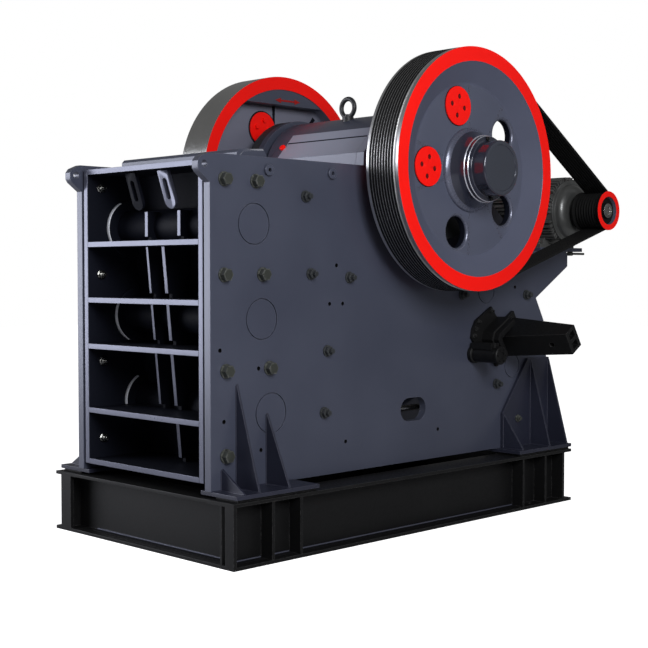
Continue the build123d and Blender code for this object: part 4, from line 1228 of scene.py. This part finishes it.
def guard_finish(middle, normal):
    """Painted light: pale on the sloping face, a darker lit copy on the foot face, painted shade black inside
    the seam, slate beyond the far end.
    """
    if middle.y > GUARD_END:
        return 1
    if normal.x < -0.9:
        return 3
    away = middle - Vector((GUARD_TOP[0], middle.y, GUARD_TOP[1]))
    in_seam = SEAM_DOWN - 0.001 < away.dot(slope) < SEAM_DOWN + SEAM_W + 0.001
    return 2 if in_seam and -SEAM_DEEP - 0.002 < away.dot(outward) < -0.003 else 0


guard = joined("head_guard_finished", [guard_length("guard", -GUARD_END, GUARD_END, True),
                                       guard_length("guard_end", -GUARD_HALF, -GUARD_END, False),
                                       guard_length("guard_end", GUARD_END, GUARD_HALF, False)])
# the guard takes lit copies of the slate, painted light, and black in its seam, a painted shade
painted(guard, lit_guard_slate, slate, hole_shade_black, guard_foot_lit_slate, choose=guard_finish)
placed(guard, "swing_jaw", "slate", "head_guard")

PLUG_Y = 0.424
PLUG_DOWN = 0.136
outline = [(0.0, 0.004), (0.024, 0.004), (0.024, -0.012), (0.018, -0.018), (0.0, -0.020), (0.0, 0.004)]
plug = turned("plug", outline, steps=32)
plug_turn = (-outward).to_track_quat("Y", "Z").to_matrix().to_4x4()
plug_place = Vector((GUARD_TOP[0], PLUG_Y, GUARD_TOP[1])) + slope * PLUG_DOWN
plug = spread("head_plug", shaded(plug), [Matrix.Translation(plug_place) @ plug_turn])
painted(plug, red)
placed(plug, "swing_jaw", "red")

# turning arrow on the counterweight
weight_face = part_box("counterweight")[0].y
ARROW_X = 0.378
ARROW_Z = 3.116
ARROW_T = 0.003
ARROW_HALF = 0.135
HEAD_L = 0.062
HEAD_H = 0.021
STEM_H = 0.007
upper = [(ARROW_HALF, 0.0), (ARROW_HALF - HEAD_L, HEAD_H), (ARROW_HALF - HEAD_L, STEM_H)]
upper += [(-x, z) for x, z in reversed(upper)]
outline = upper + [(x, -z) for x, z in reversed(upper[1:-1])]
arrow = slab("turning_arrow", [(ARROW_X + x, weight_face + 0.001, ARROW_Z + z) for x, z in outline],
             (0.0, -ARROW_T - 0.001, 0.0))
# the arrow is painted darker red, a painted shade
painted(eased(arrow, 0.0008), arrow_shade_red)
placed(arrow, "rotor", "red")

# bolts on the wedge guides
WEDGE_X = 1.180
WEDGE_Z = 1.280
WEDGE_TURN = math.radians(32.0)
GUIDE_OUT = PLATE_OUT + 0.030
GUIDE_BOLTS = ((-0.180, -0.095), (-0.180, 0.0), (-0.180, 0.095), (-0.110, 0.108), (0.0, 0.108), (0.100, 0.108),
               (-0.110, -0.108), (0.0, -0.108))


def wedge_point(t, s):
    """X and Z of a point along and across the wedge's section."""
    return (WEDGE_X + t * math.cos(WEDGE_TURN) - s * math.sin(WEDGE_TURN),
            WEDGE_Z + t * math.sin(WEDGE_TURN) + s * math.cos(WEDGE_TURN))


dressed_bolts("guide_bolts", hex_bolt("guide_bolt", 0.019, 0.014),
              both_sides([wedge_point(t, s) for t, s in GUIDE_BOLTS], GUIDE_OUT), black, "frame", "black")

# flanged housings above the guides' front ends, each with a valve
HOUSING_FLANGE_T = 0.022
HOUSING_T = 0.120
FLANGE_LINE = ((-0.030, 0.292), (-0.240, 0.305), (-0.305, 0.272), (-0.350, 0.225), (-0.335, 0.020),
               (-0.190, 0.020), (-0.190, 0.115), (-0.010, 0.115))
HOUSING_LINE = ((0.000, 0.185), (-0.210, 0.190), (-0.262, 0.150), (-0.262, -0.030), (-0.195, -0.030),
                (-0.195, 0.118), (0.000, 0.118))
VALVE_LOW = (0.752, -0.905, 1.205)
VALVE_HIGH = (0.848, -0.712, 1.252)
GUIDE_PINS = ((0.990, 1.478), (0.838, 1.402), (0.808, 1.352), (0.786, 1.300))


def on_plate(name, line, out):
    """Plate raised from the near side plate along a line on the wedge's section."""
    corners = []
    for t, s in line:
        x, z = wedge_point(t, s)
        corners.append((x, -PLATE_OUT, z))
    return slab(name, corners, (0.0, -out, 0.0))


flange = eased(on_plate("housing_flange", FLANGE_LINE, HOUSING_FLANGE_T), 0.003)
body = pushed(on_plate("housing_body", HOUSING_LINE, HOUSING_T), faces_near, 0.012, (0.0, -0.050, 0.0))
valve = eased(brick("valve", VALVE_LOW, VALVE_HIGH), 0.005)
near_housing = joined("near_housing", [flange, eased(body, 0.006), valve])
housings = joined("guide_housings", [near_housing, mirrored("far_housing", near_housing)])
painted(housings, soft_black)
placed(housings, "frame", "black")
dressed_bolts("guide_pins", hex_bolt("guide_pin", 0.022, 0.018, washer=0.016, stud=0.012),
              both_sides(GUIDE_PINS, PLATE_OUT + HOUSING_FLANGE_T), black, "frame", "black")

# wedge cylinders: an outline of (radius, distance from the plate), end screws and two ports
CYL_X = 0.800
CYL_Z = 1.165
CYL_OUT = 0.270
CYL_LINE = ((0.0, 0.0), (0.066, 0.0), (0.066, 0.030), (0.060, 0.034), (0.054, 0.036), (0.054, 0.060),
            (0.057, 0.062), (0.057, 0.232), (0.054, 0.234), (0.054, 0.240), (0.065, 0.243), (0.066, 0.246),
            (0.066, 0.262), (0.060, CYL_OUT), (0.030, CYL_OUT), (0.028, CYL_OUT - 0.010),
            (0.0, CYL_OUT - 0.010), (0.0, 0.0))
END_SCREW_PCD_R = 0.045
PORTS = (0.085, 0.205)
outline = [(r, -PLATE_OUT - out) for r, out in CYL_LINE]
barrel = eased(turned("cylinder", outline, CYL_X, CYL_Z, steps=56), 0.0012)
places = []
for a in (math.radians(60.0 * k) for k in range(6)):
    places.append(at(CYL_X + END_SCREW_PCD_R * math.cos(a), -PLATE_OUT - CYL_OUT + 0.0005,
                     CYL_Z + END_SCREW_PCD_R * math.sin(a)))
end_screws = spread("end_screws", hex_bolt("end_screw", 0.013, 0.008), places)
ports = spread("ports", hex_bolt("port", 0.030, 0.022, stud=0.014),
               [at(CYL_X, -PLATE_OUT - out, CYL_Z + 0.050, "up") for out in PORTS])
cylinder = joined("cylinder", [barrel, end_screws, ports])
cylinders = joined("wedge_cylinders_finished", [cylinder, mirrored("far_cylinder", cylinder)])
painted(cylinders, soft_black)
placed(cylinders, "frame", "black", "wedge_cylinders")

# tension springs and rods
ROD_Z = 0.800
ROD_Y = 0.565
ROD_R = 0.0215
SPRING_X0 = 1.030
SPRING_X1 = 1.245
COIL_R = 0.044
WIRE_R = 0.0075
TURNS = 7


def coil_spring():
    """Wire section wound up along Z by a screw, its two ends closed."""
    take_none()
    bpy.ops.mesh.primitive_circle_add(vertices=12, radius=WIRE_R, location=(COIL_R, 0.0, 0.0),
                                      rotation=(math.pi / 2, 0.0, 0.0))
    coil = settled("coil")
    pitch = (SPRING_X1 - SPRING_X0 - 2 * WIRE_R) / TURNS
    modified(coil, "SCREW", axis="Z", angle=2 * math.pi, screw_offset=pitch, iterations=TURNS,
             steps=28, render_steps=28, use_merge_vertices=False)
    edit(coil)
    bpy.ops.mesh.select_all(action="DESELECT")
    bpy.ops.mesh.select_non_manifold()
    bpy.ops.mesh.edge_face_add()
    take_all()
    bpy.ops.mesh.normals_make_consistent(inside=False)
    leave_edit()
    return shaded(coil, 40.0)


def rod_along_x(name, r, x0, x1, y):
    """Round bar along X between two places, at the height of the rods."""
    return drum(name, r, x1 - x0, ((x0 + x1) / 2, y, ROD_Z), sides=40, turn=(0.0, 90.0, 0.0))


lay = Matrix.Rotation(math.pi / 2, 4, "Y")
springs = spread("tension_springs_finished", coil_spring(),
                 [Matrix.Translation((SPRING_X0 + WIRE_R, y, ROD_Z)) @ lay for y in (-ROD_Y, ROD_Y)])
painted(springs, red)
placed(springs, "frame", "cast", "tension_springs")

DISC_R = 0.0505
DISC_T = 0.009
DISC_X = SPRING_X1 + 0.0225
NUT_X = SPRING_X1 + 0.0255
rod_low, rod_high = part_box("tension_rods")
parts = []
for y in (-ROD_Y, ROD_Y):
    parts.append(eased(rod_along_x("rod", ROD_R, rod_low.x, rod_high.x, y), 0.004, angle=60.0))
    disc = rod_along_x("disc", DISC_R, DISC_X - DISC_T / 2, DISC_X + DISC_T / 2, y)
    parts.append(eased(disc, 0.002, angle=60.0))
    parts.append(spread("rod_nut", hex_bolt("nut", 0.060, 0.018), [at(NUT_X, y, ROD_Z, "rear")]))
rods = joined("tension_rods_finished", parts)
painted(rods, steel)
placed(rods, "swing_jaw", "steel", "tension_rods")

# studs that hold the foot doublers
DOUBLER_OUT = PLATE_OUT + 0.025
DOUBLER_STUDS = ((1.316, 0.652), (1.599, 0.652))
dressed_bolts("doubler_studs", hex_bolt("doubler_stud", 0.040, 0.024, washer=0.028, stud=0.012),
              both_sides(DOUBLER_STUDS, DOUBLER_OUT), olive, "frame")

# weld beads along the feet: each gusset's place, its top and how far it stands off the plate
FOOT_TOP = plate_low.z
FOOT_OUT = 0.900
GUSSET_HALF_T = 0.0085
GUSSETS = ((-1.609, 0.572, 0.0), (-1.490, 1.082, 0.0), (-1.242, 0.887, 0.0),
           (1.150, 0.695, 0.025), (1.487, 1.090, 0.025), (1.711, 1.090, 0.025))
FOOT_RUNS = ((-1.690, -1.005, PLATE_OUT), (1.137, 1.740, DOUBLER_OUT))


def bead(start, end, r):
    """Straight weld bead between two points."""
    start = Vector(start)
    end = Vector(end)
    run = eased(drum("run", r, (end - start).length, (0.0, 0.0, 0.0), sides=8), r * 0.4, 1, 50.0)
    turn = (end - start).to_track_quat("Y", "Z").to_matrix().to_4x4()
    return spread("bead", run, [Matrix.Translation((start + end) / 2) @ turn])


beads = []
for side in (-1.0, 1.0):
    for x, top, stand in GUSSETS:
        y = side * (PLATE_OUT + stand)
        for edge in (x - GUSSET_HALF_T, x + GUSSET_HALF_T):
            beads.append(bead((edge, y, FOOT_TOP + 0.004), (edge, y, top - 0.010), 0.005))
            beads.append(bead((edge, y, FOOT_TOP), (edge, side * FOOT_OUT, FOOT_TOP), 0.005))
    for x0, x1, out in FOOT_RUNS:
        beads.append(bead((x0, side * out, FOOT_TOP), (x1, side * out, FOOT_TOP), 0.006))
welds = joined("foot_welds", beads)
# the welds take the darker foot slate, a painted shade
painted(welds, foot_shade_slate)
placed(welds, "frame", "slate")

# strips in the base's flutes: a black strip along each web's foot, a painted shade, with a paler upper edge, a
# painted reflection
RAIL_FOOT = 0.018
RAIL_TOP = 0.026
EDGE_TOP = RAIL_TOP + 0.006
FRONT_RAIL = (-1.655, -1.6105, -0.745, 0.600)
SIDE_RAIL_Y = (-0.868, -0.8225)
SIDE_RAILS = ((-1.695, -1.412), (-1.386, -1.175), (-1.149, 1.112))
END_GAP = 0.004
x0, x1, y0, y1 = FRONT_RAIL
flute_shade_strips = [eased(brick("rail", (x0, y0, RAIL_FOOT), (x1, y1, RAIL_TOP)), 0.002)]
edges = [brick("edge", (x1 - 0.012, y0 + END_GAP, RAIL_TOP - 0.001), (x1, y1 - END_GAP, EDGE_TOP))]
y0, y1 = SIDE_RAIL_Y
for x0, x1 in SIDE_RAILS:
    flute_shade_strips.append(eased(brick("rail", (x0, y0, RAIL_FOOT), (x1, y1, RAIL_TOP)), 0.002))
    edges.append(brick("edge", (x0 + END_GAP, y1 - 0.0105, RAIL_TOP - 0.001), (x1 - END_GAP, y1, EDGE_TOP)))
flute_shade_strips = joined("base_flute_shade", flute_shade_strips)
# the strips are painted near-black, a painted shade
painted(flute_shade_strips, hole_shade_black)
placed(flute_shade_strips, "frame", "black")
edges = eased(joined("base_flute_highlights", edges), 0.001)
# the strips' upper edges take the lit edge paint, a painted reflection
painted(edges, lit_edge_paint)
placed(edges, "frame", "steel")

# floor, world and lamps
WHITE = (1.0, 1.0, 1.0, 1.0)
FLOOR_GREY = (0.55, 0.55, 0.56, 1.0)
WORLD_LIGHT = 0.16
take_none()
bpy.ops.mesh.primitive_plane_add(size=60.0, location=(0.0, 0.0, 0.0))
floor = bpy.context.object
floor.name = "floor"
floor_mat = bpy.data.materials.new("pale_floor")
floor_mat.use_nodes = True
floor.data.materials.append(floor_mat)
tree = floor_mat.node_tree
shader = tree.nodes["Principled BSDF"]
shader.inputs["Base Color"].default_value = FLOOR_GREY
shader.inputs["Roughness"].default_value = 0.9
shader.inputs["Specular IOR Level"].default_value = 0.0
shader.inputs["Emission Color"].default_value = WHITE
path = node(tree, "ShaderNodeLightPath")
tree.links.new(path.outputs["Is Camera Ray"], shader.inputs["Emission Strength"])

world = bpy.data.worlds.new("studio")
bpy.context.scene.world = world
world.use_nodes = True
tree = world.node_tree
backdrop = tree.nodes["Background"]
backdrop.inputs["Color"].default_value = WHITE
path = node(tree, "ShaderNodeLightPath")
seen = node(tree, "ShaderNodeMath", operation="MAXIMUM")
tree.links.new(path.outputs["Is Camera Ray"], seen.inputs[0])
tree.links.new(path.outputs["Is Transmission Ray"], seen.inputs[1])
strength = between(tree, seen.outputs["Value"], 0.0, 1.0, WORLD_LIGHT, 1.0)
tree.links.new(strength, backdrop.inputs["Strength"])


def lamp(name, place, aim, size, power, colour):
    """Soft rectangular lamp that looks at a point."""
    data = bpy.data.lights.new(name, "AREA")
    data.shape = "RECTANGLE"
    data.size, data.size_y = size
    data.energy = power
    data.color = colour
    light = bpy.data.objects.new(name, data)
    bpy.context.scene.collection.objects.link(light)
    light.location = place
    light.rotation_euler = (Vector(aim) - Vector(place)).to_track_quat("-Z", "Y").to_euler()
    return light


lamp("front", (-7.0, 6.5, 3.0), (-0.8, 0.0, 1.6), (6.5, 5.2), 600.0, (0.90, 0.92, 1.0))
lamp("side", (-4.5, -9.0, 5.5), (-0.5, 0.0, 1.6), (4.5, 4.0), 860.0, (0.96, 0.97, 1.0))
sheen = lamp("sheen", (5.0, -8.0, 5.5), (-0.8, -0.7, 2.2), (5.0, 3.0), 30.0, (0.94, 0.96, 1.0))
sheen.visible_diffuse = False
